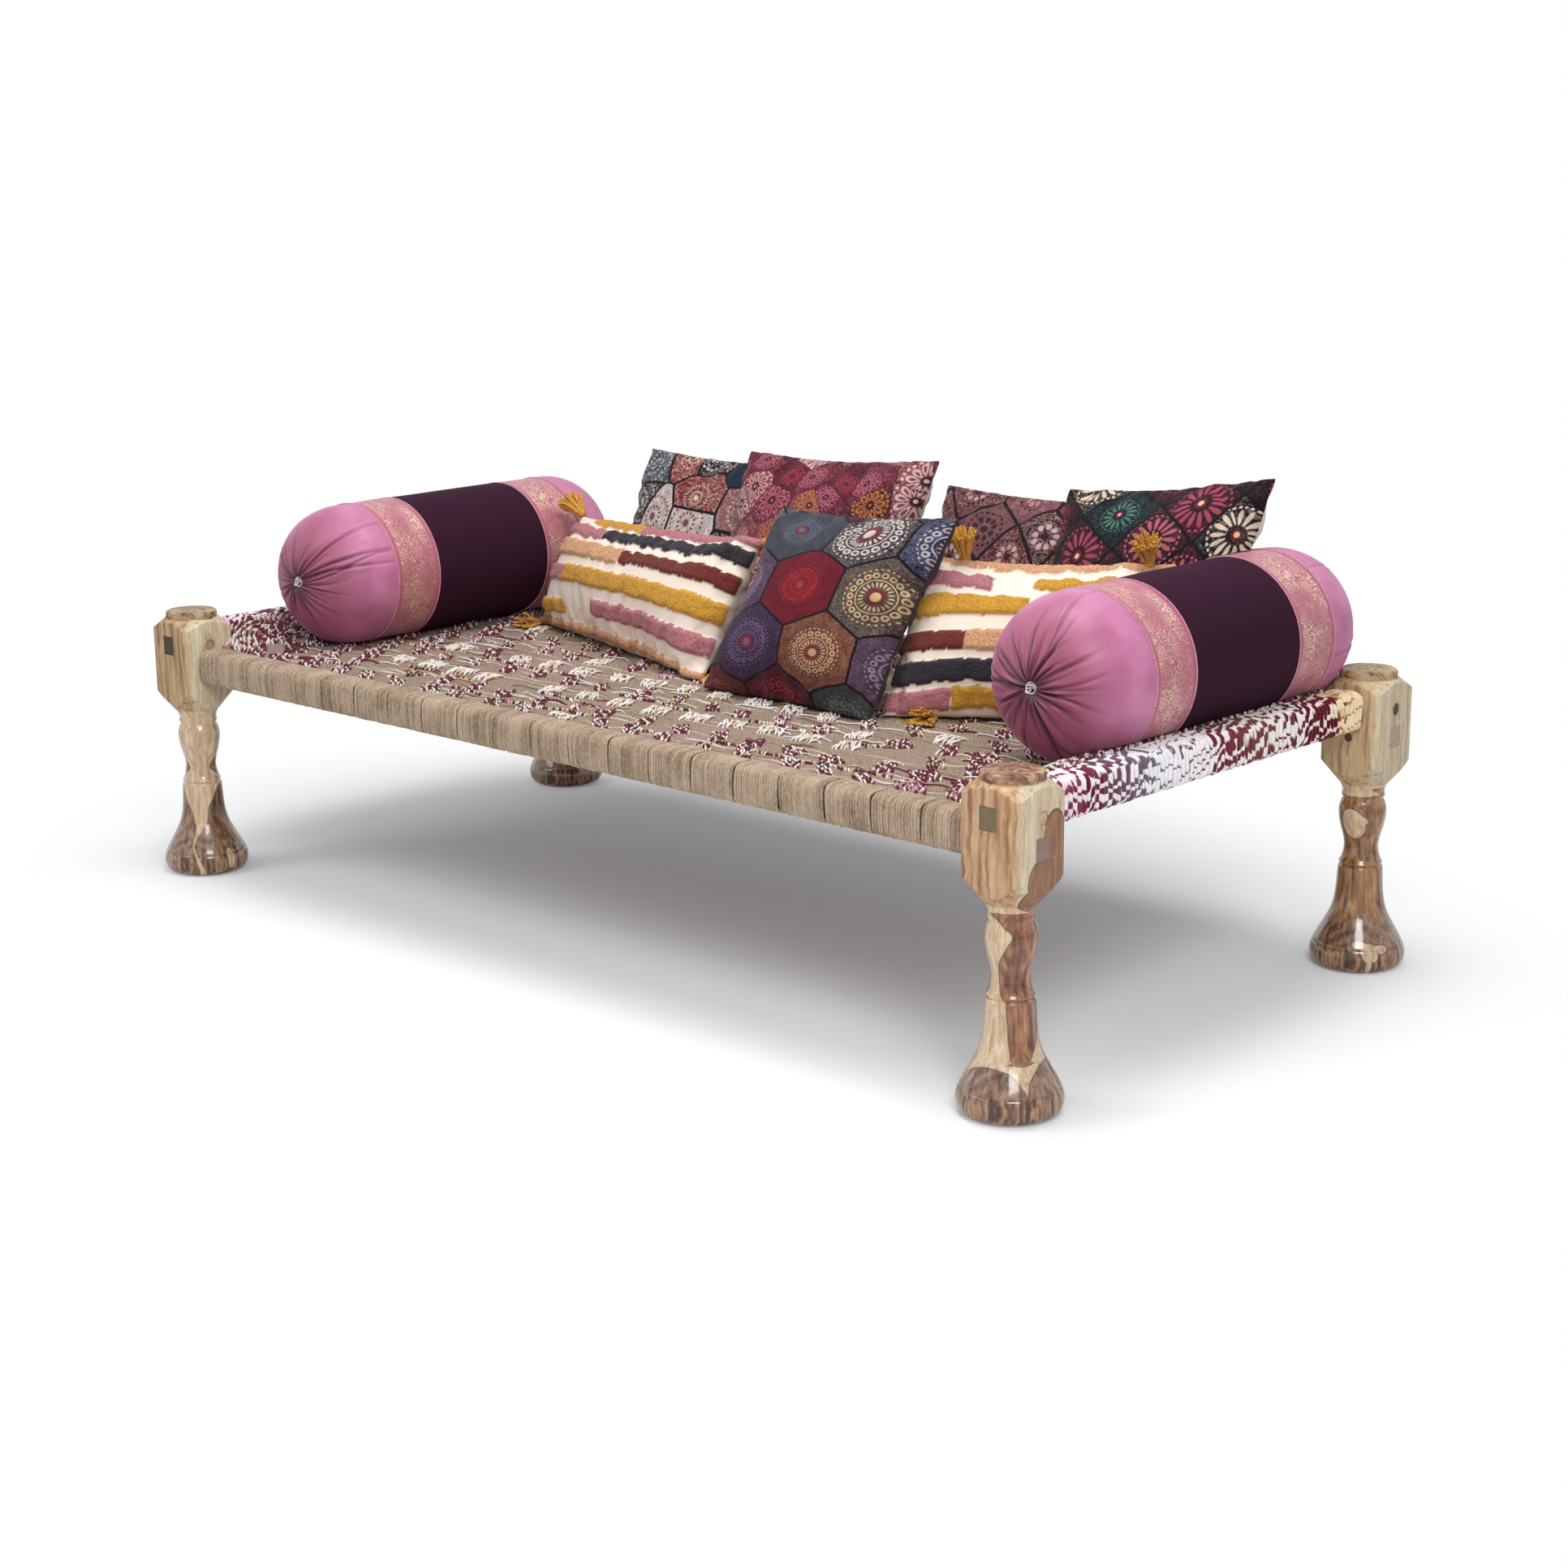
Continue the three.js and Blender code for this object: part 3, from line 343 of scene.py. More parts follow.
def shellackedSheesham(name, leg):
    # shellac over turned sheesham: a clear gloss on the turned stretch, and a duller planed block
    material, node = newFinish(name)
    local = node("VectorMath SUBTRACT", node("TexCoord", give="Object"), (leg["x"], leg["y"], 0))
    sway = node("TexNoise", local, named={"Scale": 28, "Detail": 2, "W": leg["seed"]}, noise_dimensions="4D",
                give="Color")
    sway = node("VectorMath SUBTRACT", sway, (0.5, 0.5, 0.5))
    swayed = node("VectorMath ADD", local, node("VectorMath SCALE", sway, named={"Scale": 0.010}))
    faced = node("VectorRotate", swayed, named={"Angle": math.radians(legTurning["faceAngle"])},
                 rotation_type="Z_AXIS")
    parts = node("SeparateXYZ", faced).node.outputs
    height = parts["Z"]
    angle = node("Math ARCTAN2", parts["Y"], parts["X"])
    radius = node("VectorMath LENGTH", node("CombineXYZ", parts["X"], parts["Y"], 0), give="Value")
    widest = legTurning["widest"]
    stops = [(level / bed["height"], [0.5 + edge / 2 / widest for edge in edges] + [0])
             for level, *edges in leg["heart"]]
    edges = node("ValToRGB", node("Math DIVIDE", height, bed["height"]), blend="CARDINAL", stops=stops)
    edges = node("SeparateColor", edges).node.outputs
    left, right = (node("MapRange", edges[side], 0, 1, math.radians(-widest), math.radians(widest))
                   for side in ("Red", "Green"))
    heart = node("Math MINIMUM", node("Math SUBTRACT", angle, left), node("Math SUBTRACT", right, angle))
    heart = node("Math MULTIPLY", heart, node("Math MULTIPLY", radius, -1 if leg["flipped"] else 1))
    for patches, side, choice in ((leg["lobes"], 1, "MAXIMUM"), (leg["pale"], -1, "MINIMUM")):
        for turn, level, halfWide, halfTall in patches:
            turned = node("Math WRAP", node("Math SUBTRACT", angle, math.radians(turn)), math.pi, -math.pi)
            arc = node("Math DIVIDE", node("Math MULTIPLY", turned, radius), halfWide)
            rise = node("Math DIVIDE", node("Math SUBTRACT", height, level), halfTall)
            reach = node("VectorMath LENGTH", node("CombineXYZ", arc, rise, 0), give="Value")
            depth = node("Math MULTIPLY", node("Math SUBTRACT", 1.0, reach), side * min(halfWide, halfTall))
            heart = node("Math " + choice, heart, depth)
    # growth rings about a pith beside the leg, streaks drawn out along the grain, and pores about 1 mm apart
    tilted = node("VectorRotate", local, named={"Angle": math.radians(7)}, rotation_type="Y_AXIS")
    rings = node("TexWave", node("VectorMath ADD", tilted, (0.035, -0.05, 0)), wave_type="RINGS",
                 rings_direction="Z", named={"Scale": 38, "Distortion": 4, "Detail": 2, "Detail Scale": 0.7})
    grainPlace = node("VectorMath MULTIPLY", swayed, (1, 1, 0.05))
    grain = node("TexNoise", grainPlace, named={"Scale": 900, "Detail": 3, "Roughness": 0.6})
    figure = node("TexNoise", grainPlace, named={"Scale": 150, "Detail": 2, "Distortion": 0.3})
    tone = weighed(node, (rings, 0.10), (figure, 0.85))
    faint = weighed(node, (rings, 0.04), (figure, 1))
    dark, middle, light = leg["tones"]
    brown = node("ValToRGB", tone, stops=[(0.28, dark), (0.46, middle), (0.68, light)])
    lobe = node("ValToRGB", tone, stops=[(0.30, "#4c3629"), (0.45, "#84634f"), (0.66, "#aa8a6f")])
    brown = node("Mix RGBA", node("MapRange", height, 0.085, 0.070, 0, 1), brown, lobe)
    below = node("ValToRGB", figure, stops=[(0.40, "#3a2317"), (0.50, "#82583f"), (0.62, "#b68c65")])
    brown = node("Mix RGBA", node("MapRange", height, 0.0375, 0.0365, 0, 0.8), brown, below)
    cream = node("ValToRGB", faint, stops=[(0.30, "#b8936f"), (0.50, "#d3b38f"), (0.72, "#e5d2b4")])
    dark, middle = leg["block"]
    block = node("ValToRGB", faint, stops=[(0.32, dark), (0.50, middle), (0.74, "#d3b48e")])
    paleBlock = node("ValToRGB", faint, stops=[(0.30, "#b89f7e"), (0.50, "#d0bf9f"), (0.74, "#e0d4bc")])
    paleSide = node("MapRange", angle, *(math.radians(leg["paleSide"] + edge) for edge in (-4, 4)), 0, 1)
    block = node("Mix RGBA", paleSide, block, paleBlock)
    isBlock = node("MapRange", height, 0.276, 0.283, 0, 1)
    isTop = node("MapRange", height, 0.4385, 0.4395, 0, 1)
    pale = node("Mix RGBA", isBlock, cream, block)
    brown = node("Mix RGBA", node("Math MULTIPLY", isBlock, 0.55), brown, "#a07b64")
    both = node("Mix RGBA", node("MapRange", heart, -0.4 * mm, 0.4 * mm, 0, 1), pale, brown)
    # the dark line where heartwood meets sapwood
    rim = node("MapRange", node("Math ABSOLUTE", heart), 0.2 * mm, 1.3 * mm, 0.8, 0)
    both = node("Mix RGBA", rim, both, "#4a2c1e")
    top = node("TexNoise", local, named={"Scale": 55, "Detail": 4, "Distortion": 1})
    top = node("ValToRGB", top, stops=[(0.36, "#553a2b"), (0.5, leg["top"]), (0.68, "#c4a682")])
    both = shaded(node, node("Mix RGBA", isTop, both, top), node("MapRange", grain, 0.38, 0.6, 0.80, 1.05))
    closeFinish(node, colour=both, roughness=node("MapRange", isBlock, 0, 1, 0.22, 0.55),
                coat=node("MapRange", isBlock, 0, 1, 0.85, 0.05), coatRoughness=0.07, ior=1.45, specular=0.4,
                relief=(grain, 0.15, 0.4 * mm))
    return material


def roundedProfile(profile, rounds):
    # in-between points on a smooth curve through the profile
    fine = [profile[0]]
    last = len(profile) - 1
    for index in range(last):
        before, start, end, after = (Vector(profile[min(max(index + step, 0), last)])
                                     for step in (-1, 0, 1, 2))
        for part in range(1, rounds):
            share = part / rounds
            bend = 2 * before - 5 * start + 4 * end - after
            twist = 3 * start - before - 3 * end + after
            curve = 2 * start + (end - before) * share + bend * share ** 2 + twist * share ** 3
            fine.append(tuple(curve / 2))
        fine.append(profile[index + 1])
    return fine


def cutWith(piece, cutter, operation):
    modifier = piece.modifiers.new("cut", "BOOLEAN")
    modifier.operation = operation
    modifier.solver = "MANIFOLD"
    modifier.object = cutter
    applyModifiers(piece)
    bpy.data.objects.remove(cutter)


block = {"side": 0.098, "chamfer": 0.011, "shoulder": 0.020, "collar": 0.039, "topRadius": 0.044,
         "neckRadius": 0.036, "tenon": (0.0286, 0.0316), "sideTenon": 0.355, "endTenon": 0.395,
         "cutLength": 0.2, "throughPeg": 0.0098, "blindPeg": 0.0068, "blindPlace": 0.035,
         "blindLength": 0.072, "edge": 1.6 * mm, "overrun": 0.02,
         "disc": [(0, 0.436), (0.042, 0.436), (0.042, 0.4465), (0.0412, 0.4485), (0.039, 0.45), (0, 0.45)]}


def legBlock():
    # a planed block, turned at both ends, with its two mortises and its peg holes
    half, low, high = block["side"] / 2, bed["blockBottom"], bed["blockTop"]
    work = bmesh.new()
    bmesh.ops.create_cube(work, size=1, matrix=Matrix.Translation((0, 0, (high + low) / 2)) @ Matrix.Diagonal(
        (2 * half, 2 * half, high - low + block["overrun"], 1)))
    upright = [edge for edge in work.edges if abs(edge.verts[0].co.z - edge.verts[1].co.z) > block["side"]]
    bmesh.ops.bevel(work, geom=upright, offset=block["chamfer"], offset_type="WIDTH", affect="EDGES",
                    segments=1, profile=0.5, material=-1)
    shape = newObject(work, "block")
    corner = half * math.sqrt(2)
    slopes = [(0, low), (block["neckRadius"], low), (corner, low + block["collar"]),
              (corner, high - block["shoulder"]), (block["topRadius"], high), (0, high)]
    cutWith(shape, newObject(spunPiece(slopes, 64), "slopes"), "INTERSECT")
    wide, tall = block["tenon"]
    for size, level in (((block["cutLength"], wide, tall), block["sideTenon"]),
                        ((wide, block["cutLength"], tall), block["endTenon"])):
        work = bmesh.new()
        place = Matrix.Translation((0, 0, level))
        bmesh.ops.create_cube(work, size=1, matrix=place @ Matrix.Diagonal((*size, 1)))
        cutWith(shape, newObject(work, "mortise"), "DIFFERENCE")
    for axis, radius, place, length in (
            ("Y", block["throughPeg"], (0, 0, block["endTenon"]), block["cutLength"]),
            ("X", block["blindPeg"], (0, half - block["blindPlace"], block["sideTenon"]),
             block["blindLength"])):
        work = bmesh.new()
        bmesh.ops.create_cone(work, cap_ends=True, segments=24, radius1=radius, radius2=radius, depth=length,
                              matrix=Matrix.Translation(place) @ Matrix.Rotation(math.pi / 2, 4, axis))
        cutWith(shape, newObject(work, "pegHole"), "DIFFERENCE")
    bevel = shape.modifiers.new("edge", "BEVEL")
    bevel.width = block["edge"]
    bevel.segments = 2
    bevel.limit_method = "ANGLE"
    bevel.angle_limit = math.radians(35)
    mesh = meshWithModifiers(shape)
    bpy.data.objects.remove(shape)
    return mesh


blockShape = legBlock()
for corner, leg in legs.items():
    work = bmesh.new()
    work.from_mesh(blockShape)
    if leg["y"] > 0:
        bmesh.ops.rotate(work, verts=work.verts, cent=(0, 0, 0), matrix=Matrix.Rotation(math.pi, 3, "Z"))
    turning = [(radius * legTurning["footRadius"], rise * bed["blockBottom"])
               for radius, rise in legTurning["shares"]]
    turning = turning[:1] + roundedProfile(turning[1:-1], legTurning["rounds"]) + turning[-1:]
    for profile in (turning, block["disc"]):
        turned = newObject(spunPiece(profile, legTurning["turns"]), "turned")
        work.from_mesh(turned.data)
        bpy.data.objects.remove(turned)
    bmesh.ops.translate(work, verts=work.verts, vec=(leg["x"], leg["y"], 0))
    piece = newPiece(work, "turnedLeg_" + corner, "frame", "turned_wood",
                     shellackedSheesham("shellackedSheesham_" + corner, leg))
    piece.data.set_sharp_from_angle(angle=math.radians(legTurning["sharpAngle"]))
    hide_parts("leg_" + corner)
print("legs are turned")


# Pegs and rails: the solids themselves, with wood on them
pegShades = {"front_right": ("#b59a7b", "#d2bf9f"), "front_left": ("#9c815e", "#c0a883"),
             "back_right": ("#2e2219", "#65503a"), "back_left": ("#3a2a1e", "#6b563d")}
railLook = {"sideEnds": 0.9284, "long": 0.95, "wide": 0.48, "sideGrain": ("#8c7169", "#b3a491"),
            "endGrain": ("#3f2e21", "#76674a")}


def pegWood(corner):
    # end grain of the pegs
    material, node = newFinish("pegEndGrain_" + corner)
    low, high = pegShades[corner]
    rings = node("TexNoise", node("TexCoord", give="Object"), named={"Scale": 420, "Detail": 3})
    closeFinish(node, colour=node("ValToRGB", rings, stops=[(0.35, low), (0.7, high)]), roughness=0.55,
                ior=1.5)
    return material


def railTimber():
    # planed rail timber; its tenon ends show as darker end grain, a different shade at each leg
    material, node = newFinish("planedRailTimber")
    place = node("TexCoord", give="Object")
    parts = node("SeparateXYZ", place).node.outputs
    grains = []
    for axis, half, grain in (("X", railLook["long"], "endGrain"), ("Y", railLook["wide"], "sideGrain")):
        share = node("MapRange", parts[axis], -half, half, 0, 1)
        grains.append(node("ValToRGB", share, stops=[*enumerate(railLook[grain])]))
    atSideEnd = node("Math GREATER_THAN", node("Math ABSOLUTE", parts["X"]), railLook["sideEnds"])
    mottle = node("TexNoise", place, named={"Scale": 260, "Detail": 4})
    colour = shaded(node, node("Mix RGBA", atSideEnd, *grains),
                    node("MapRange", mottle, 0.3, 0.7, 0.75, 1.15))
    closeFinish(node, colour=colour, roughness=0.6, ior=1.5, relief=(mottle, 0.2, 0.4 * mm))
    return material


timber, dowels = railTimber(), {corner: pegWood(corner) for corner in pegShades}
for name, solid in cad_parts.items():
    if "_rail_" in name or "_peg_" in name:
        solid.data.materials.clear()
        solid.data.materials.append(timber if "_rail_" in name else dowels[name.split("_peg_")[1]])


# Rope wound on the rails, round and round; the jute is 4 mm and drawn 5 mm thick so that its turns show
windings = {
    "side": {"pitch": 5.2 * mm, "radius": 2.55 * mm, "half": (0.027, 0.029), "length": 1.6605, "bundle": 16,
             "slit": 1.4 * mm, "stray": 0.75 * mm, "wave": 0, "turnPoints": 14, "roundness": 0.42},
    "end": {"pitch": 9.4 * mm, "radius": 4.4 * mm, "half": (0.028, 0.030), "length": 0.7325, "bundle": 9,
            "slit": 0.8 * mm, "stray": 0.8 * mm, "wave": 2.2 * mm, "turnPoints": 24, "roundness": 0.42},
}
dullFibre = {"sheen": 0.1, "sheenRoughness": 0.5, "specular": 0.15}


def windingCurve(look, seed):
    # the rope's line along X, round a rectangle with round corners
    pick = random.Random(seed)
    steps, stray = look["turnPoints"], look["stray"]
    halfWide, halfTall = (size - look["radius"] for size in look["half"])
    around = []
    for step in range(steps):
        ways = math.cos(math.tau * step / steps), math.sin(math.tau * step / steps)
        across, rise = (math.copysign(abs(way) ** look["roundness"], way) for way in ways)
        around.append((halfWide * across, halfTall * rise))
    turns = int(look["length"] / look["pitch"])
    end = look["length"] / 2 - look["radius"]
    pitch = 2 * end / turns
    points, lean, slit = [], 0, 0
    for turn in range(turns):
        if turn % look["bundle"] == 0:
            lean = pick.uniform(-1, 1) * stray * 2
            slit = pick.uniform(0.4, 1.8) * look["slit"]
        inBundle = (turn % look["bundle"]) / look["bundle"] - 0.5
        start = turn * pitch - end - inBundle * slit * 2
        grow = 1 + pick.uniform(-1, 1) * stray * 0.6 / halfWide
        for step, (across, rise) in enumerate(around):
            along = start + pitch * step / steps + lean * rise / halfTall + pick.uniform(-1, 1) * stray * 0.35
            along += look["wave"] * math.sin(5 * math.tau * step / steps + turn * 0.5)
            points.append((min(max(along, -end), end), across * grow, rise * grow))
    return points


def spunJute(side):
    # dry spun jute: a hairy, dull, grey-beige strand; fibres drawn about 1 mm apart so that they show
    material, node = newFinish("spunJute_" + side)
    place = node("TexCoord", give="Object")
    fibres = node("TexNoise", node("VectorMath MULTIPLY", place, (1, 0.25, 0.25)),
                  named={"Scale": 900, "Detail": 3})
    patches = node("TexNoise", place, named={"Scale": 22, "Detail": 3})
    strand = node("Math MULTIPLY", node("SeparateXYZ", place, give="X"), 1 / windings["side"]["pitch"])
    strand = node("TexWhiteNoise", named={"W": node("Math FLOOR", strand)}, noise_dimensions="1D",
                  give="Value")
    tone = weighed(node, (fibres, 0.45), (patches, 0.3), (strand, 0.11))
    colour = node("ValToRGB", tone, stops=[(0.27, "#745f4d"), (0.43, "#b09a84"), (0.61, "#cdbca7")])
    closeFinish(node, colour=colour, roughness=0.95, relief=(fibres, 0.5, 0.7 * mm), **dullFibre)
    return material


# the rag rope's colours along the rail, front to back as shares: how much of it is dark, and both shades
ragRopeLook = {
    "dark": [(0, 0.30), (0.1, 0.42), (0.17, 0.6), (0.29, 0.55), (0.33, 0.12), (0.47, 0.16), (0.51, 0.6),
             (0.66, 0.56), (0.72, 0.30), (0.79, 0.36), (0.81, 0.70), (0.92, 0.68), (0.95, 0.16)],
    "rag": [(0, "#a04a6c"), (0.14, "#6d1430"), (0.31, "#77707f"), (0.5, "#741630"), (0.7, "#7b444b"),
            (0.8, "#620b26"), (0.93, "#620b26"), (0.95, "#c0905a")],
    "white": [(0, "#f6e6ee"), (0.3, "#f4f4f8"), (0.5, "#f6f0f3"), (0.7, "#f3ebe4"), (0.82, "#f8f0f2"),
              (0.94, "#f8e2bd")], "turnsPerMetre": 106.4, "halfLong": 0.366}


def ragRope(side, centre):
    # rope twisted from cotton rags: dashes of maroon and white step along from one turn to the next
    material, node = newFinish("twistedRag_" + side)
    place = node("TexCoord", give="Object")
    parts = node("SeparateXYZ", place).node.outputs
    angle = node("Math ARCTAN2", node("Math SUBTRACT", parts["Z"], bed["endLevel"]),
                 node("Math SUBTRACT", parts["X"], centre))
    turn = node("Math FLOOR", node("Math MULTIPLY", parts["Y"], ragRopeLook["turnsPerMetre"]))
    turnTone = node("TexWhiteNoise", named={"W": turn}, noise_dimensions="1D", give="Value")
    drift = node("TexNoise", place, named={"Scale": 26, "Detail": 1})
    dash = node("Math FRACT", weighed(node, (angle, 1.2), (turn, -0.31), (drift, 2.6), (turnTone, 0.4)))
    along = node("MapRange", parts["Y"], -ragRopeLook["halfLong"], ragRopeLook["halfLong"], 0, 1)
    along = weighed(node, (turnTone, 0.05), (along, 1))
    share, rag, white = (node("ValToRGB", along, stops=ragRopeLook[key]) for key in ("dark", "rag", "white"))
    dark = node("Math SUBTRACT", node("SeparateColor", share, give="Red"), dash)
    colour = node("Mix RGBA", node("MapRange", dark, -0.06, 0.06, 0, 1), white, rag)
    threads = node("TexNoise", place, named={"Scale": 700, "Detail": 2})
    colour = shaded(node, colour, node("MapRange", threads, 0.3, 0.7, 0.88, 1.12))
    closeFinish(node, colour=colour, roughness=0.9, relief=(threads, 0.6, 1.0 * mm), **dullFibre)
    return material


for side, hand in (("front", -1), ("back", 1)):
    look = windings["side"]
    place = Matrix.Translation((0, hand * bed["wide"] / 2, bed["sideLevel"]))
    mesh = ropeMesh([(windingCurve(look, 11 + hand), look["radius"], 0)], [spunJute(side)], place)
    piece = newPiece(mesh, "juteWinding_" + side, "frame", "jute_rope")
    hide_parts("jute_winding_" + side)
for side, hand in (("left", -1), ("right", 1)):
    look, centre = windings["end"], hand * bed["long"] / 2
    place = Matrix.Translation((centre, 0, bed["endLevel"])) @ Matrix.Rotation(math.pi / 2, 4, "Z")
    mesh = ropeMesh([(windingCurve(look, 21 + hand), look["radius"], 0)], [ragRope(side, centre)], place)
    piece = newPiece(mesh, "ragWinding_" + side, "frame", "rag_rope")
    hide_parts("rag_winding_" + side)
print("rails are wound")


# Woven deck: a jute ground laced on the slant, with groups of rag strands that come up through it
deck = {"columns": 290, "rows": 134, "thickness": 0.008, "relief": 3.2 * mm, "pitchLong": 0.076,
        "pitchWide": 0.067, "slant": math.radians(132), "ribs": 0.0042, "inset": (0.002, 0.001),
        "fade": (0.03, 0.02), "sink": 0.0016}


def deckBump(x, y):
    # one soft lens between every four groups of strands, drawn out along the slant
    row = (y + bed["deckHalfWide"]) / deck["pitchWide"]
    column = x / deck["pitchLong"] + 0.5 * row
    lens = math.cos(math.tau * column) * math.sin(math.pi * row)
    return deck["relief"] * (lens * 0.5 + noise.noise(Vector((x * 30, y * 40, 0.3))) * 0.45)


def wovenJute():
    # flat jute laced close: ribs 4 mm apart on the slant, dull and grey-beige, with stray strands
    material, node = newFinish("lacedJute")
    place = node("TexCoord", give="Object")
    sway = node("TexNoise", place, named={"Scale": 9, "Detail": 2}, give="Color")
    swayed = node("VectorMath ADD", place, node("VectorMath SCALE", sway, named={"Scale": 0.016}))
    slanted = node("VectorRotate", swayed, named={"Angle": -deck["slant"]}, rotation_type="Z_AXIS")
    ribs = node("Math MULTIPLY", node("SeparateXYZ", slanted, give="Y"), math.tau / deck["ribs"])
    ribs = node("Math SINE", ribs)
    fibres = node("TexNoise", node("VectorMath MULTIPLY", slanted, (0.25, 1, 1)),
                  named={"Scale": 620, "Detail": 3})
    tone = weighed(node, (fibres, 0.7), (ribs, 0.018))
    colour = node("ValToRGB", tone, stops=[(0.22, "#6f5c4d"), (0.36, "#9b8875"), (0.5, "#b3a18d")])
    # single strands of white and maroon rag that run with the bed for a hand's width at a time, and a blush
    runs = node("VectorMath MULTIPLY", swayed, (5.5, 130, 0))
    strays = node("TexNoise", runs, named={"Scale": 1, "Detail": 0})
    blush = node("TexNoise", place, named={"Scale": 6, "Detail": 1})
    for pattern, start, end, most, tint in ((strays, 0.69, 0.72, 0.75, "#e6ddd0"),
                                            (strays, 0.31, 0.28, 0.7, "#6e4049"),
                                            (blush, 0.52, 0.72, 0.3, "#a98a90")):
        colour = node("Mix RGBA", node("MapRange", pattern, start, end, 0, most), colour, tint)
    closeFinish(node, colour=colour, roughness=0.95, sheen=0.05, sheenRoughness=0.5, specular=0.1,
                relief=(weighed(node, (ribs, 0.4), (fibres, 1.4)), 0.7, 1.1 * mm))
    return material


work = bmesh.new()
bmesh.ops.create_grid(work, x_segments=deck["columns"], y_segments=deck["rows"], size=1)
halves = bed["deckHalfLong"], bed["deckHalfWide"]
for vert in work.verts:
    x, y = (share * (half - inset) for share, half, inset in zip(vert.co, halves, deck["inset"]))
    edge = min(1, *((half - abs(place)) / fade for place, half, fade in zip((x, y), halves, deck["fade"])))
    vert.co = (x, y, deckTop(x, y) + deckBump(x, y) * edge - deck["sink"])
bmesh.ops.solidify(work, geom=work.faces[:], thickness=deck["thickness"])
bmesh.ops.recalc_face_normals(work, faces=work.faces)
piece = newPiece(work, "lacedDeck", "frame", "woven_jute", wovenJute())
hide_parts("woven_deck")


def cottonStrand(name, low, high, scale, depth, **surface):
    # cotton rag or thread: soft, dull, creased along its length
    material, node = newFinish(name)
    creases = node("TexNoise", node("TexCoord", give="Object"), named={"Scale": scale, "Detail": 2})
    closeFinish(node, colour=node("ValToRGB", creases, stops=[(0.35, low), (0.62, high)]),
                relief=(creases, 0.5, depth), **surface)
    return material


ragLook = {"scale": 330, "depth": 0.8 * mm, "roughness": 0.9, **dullFibre}
ragColours = [cottonStrand("rag" + name, low, high, **ragLook) for name, low, high in (
    ("Maroon", "#4c0d23", "#80203b"), ("White", "#cfc8c2", "#f2ece6"), ("Pink", "#a55f77", "#d29bab"),
    ("Plum", "#291319", "#4d2c35"), ("Sand", "#bd9673", "#e0c3a0"), ("Twine", "#7a6555", "#a08a76"))]
# which rags lie together in a group, by their place in the list above, and which group each row has most of
ragGroups = {"maroon": (0, 1, 0, 0, 1, 0), "white": (1, 1, 1, 1, 4, 1), "pink": (2, 1, 0, 1, 2, 0),
             "plum": (3, 1, 0, 1, 0, 1), "sand": (3, 4, 0, 4, 3, 1)}
ragRows = ("plum", "maroon", "white", "maroon", "white", "pink", "maroon", "white", "maroon", "sand",
           "pink", "maroon")
# how a group is stacked; its numbers are in millimetres but for stacks and count
ragStacks = {"plain": {"stacks": (-2, -1, 0, 1, 2), "count": 5, "half": (4.6, 7.6), "apart": 5.0, "rise": 11},
             "crowded": {"stacks": (-2.5, -1.5, -0.5, 0.5, 1.5, 2.5), "count": 7, "half": (4.6, 7.6),
                         "apart": 5.0, "rise": 11},
             "brushed": {"stacks": (-0.5, 0.5), "count": 8, "half": (10, 17), "apart": 4.4, "rise": 20}}
ragPlaces = {"crowded": (-0.58, 0.64), "full": (-0.80, 0.83), "packed": {-1: 0.765, 1: 0.795},
             "packedRows": 150, "packedPitch": 5.2, "missing": 0.04, "threads": 200,
             "dashes": ((-0.352, -0.70, 0.62), (-0.285, -0.60, -0.05), (-0.215, -0.1, 0.55),
                        (-0.15, -0.62, -0.2), (-0.02, -0.5, 0.1), (0.2, -0.5, 0.6))}


def onDeck(at, rise):
    return at.x, at.y, float(deckTop(at.x, at.y)) + deckBump(at.x, at.y) + rise * mm


def waysOf(slant):
    return Vector((math.cos(slant), math.sin(slant))), Vector((-math.sin(slant), math.cos(slant)))


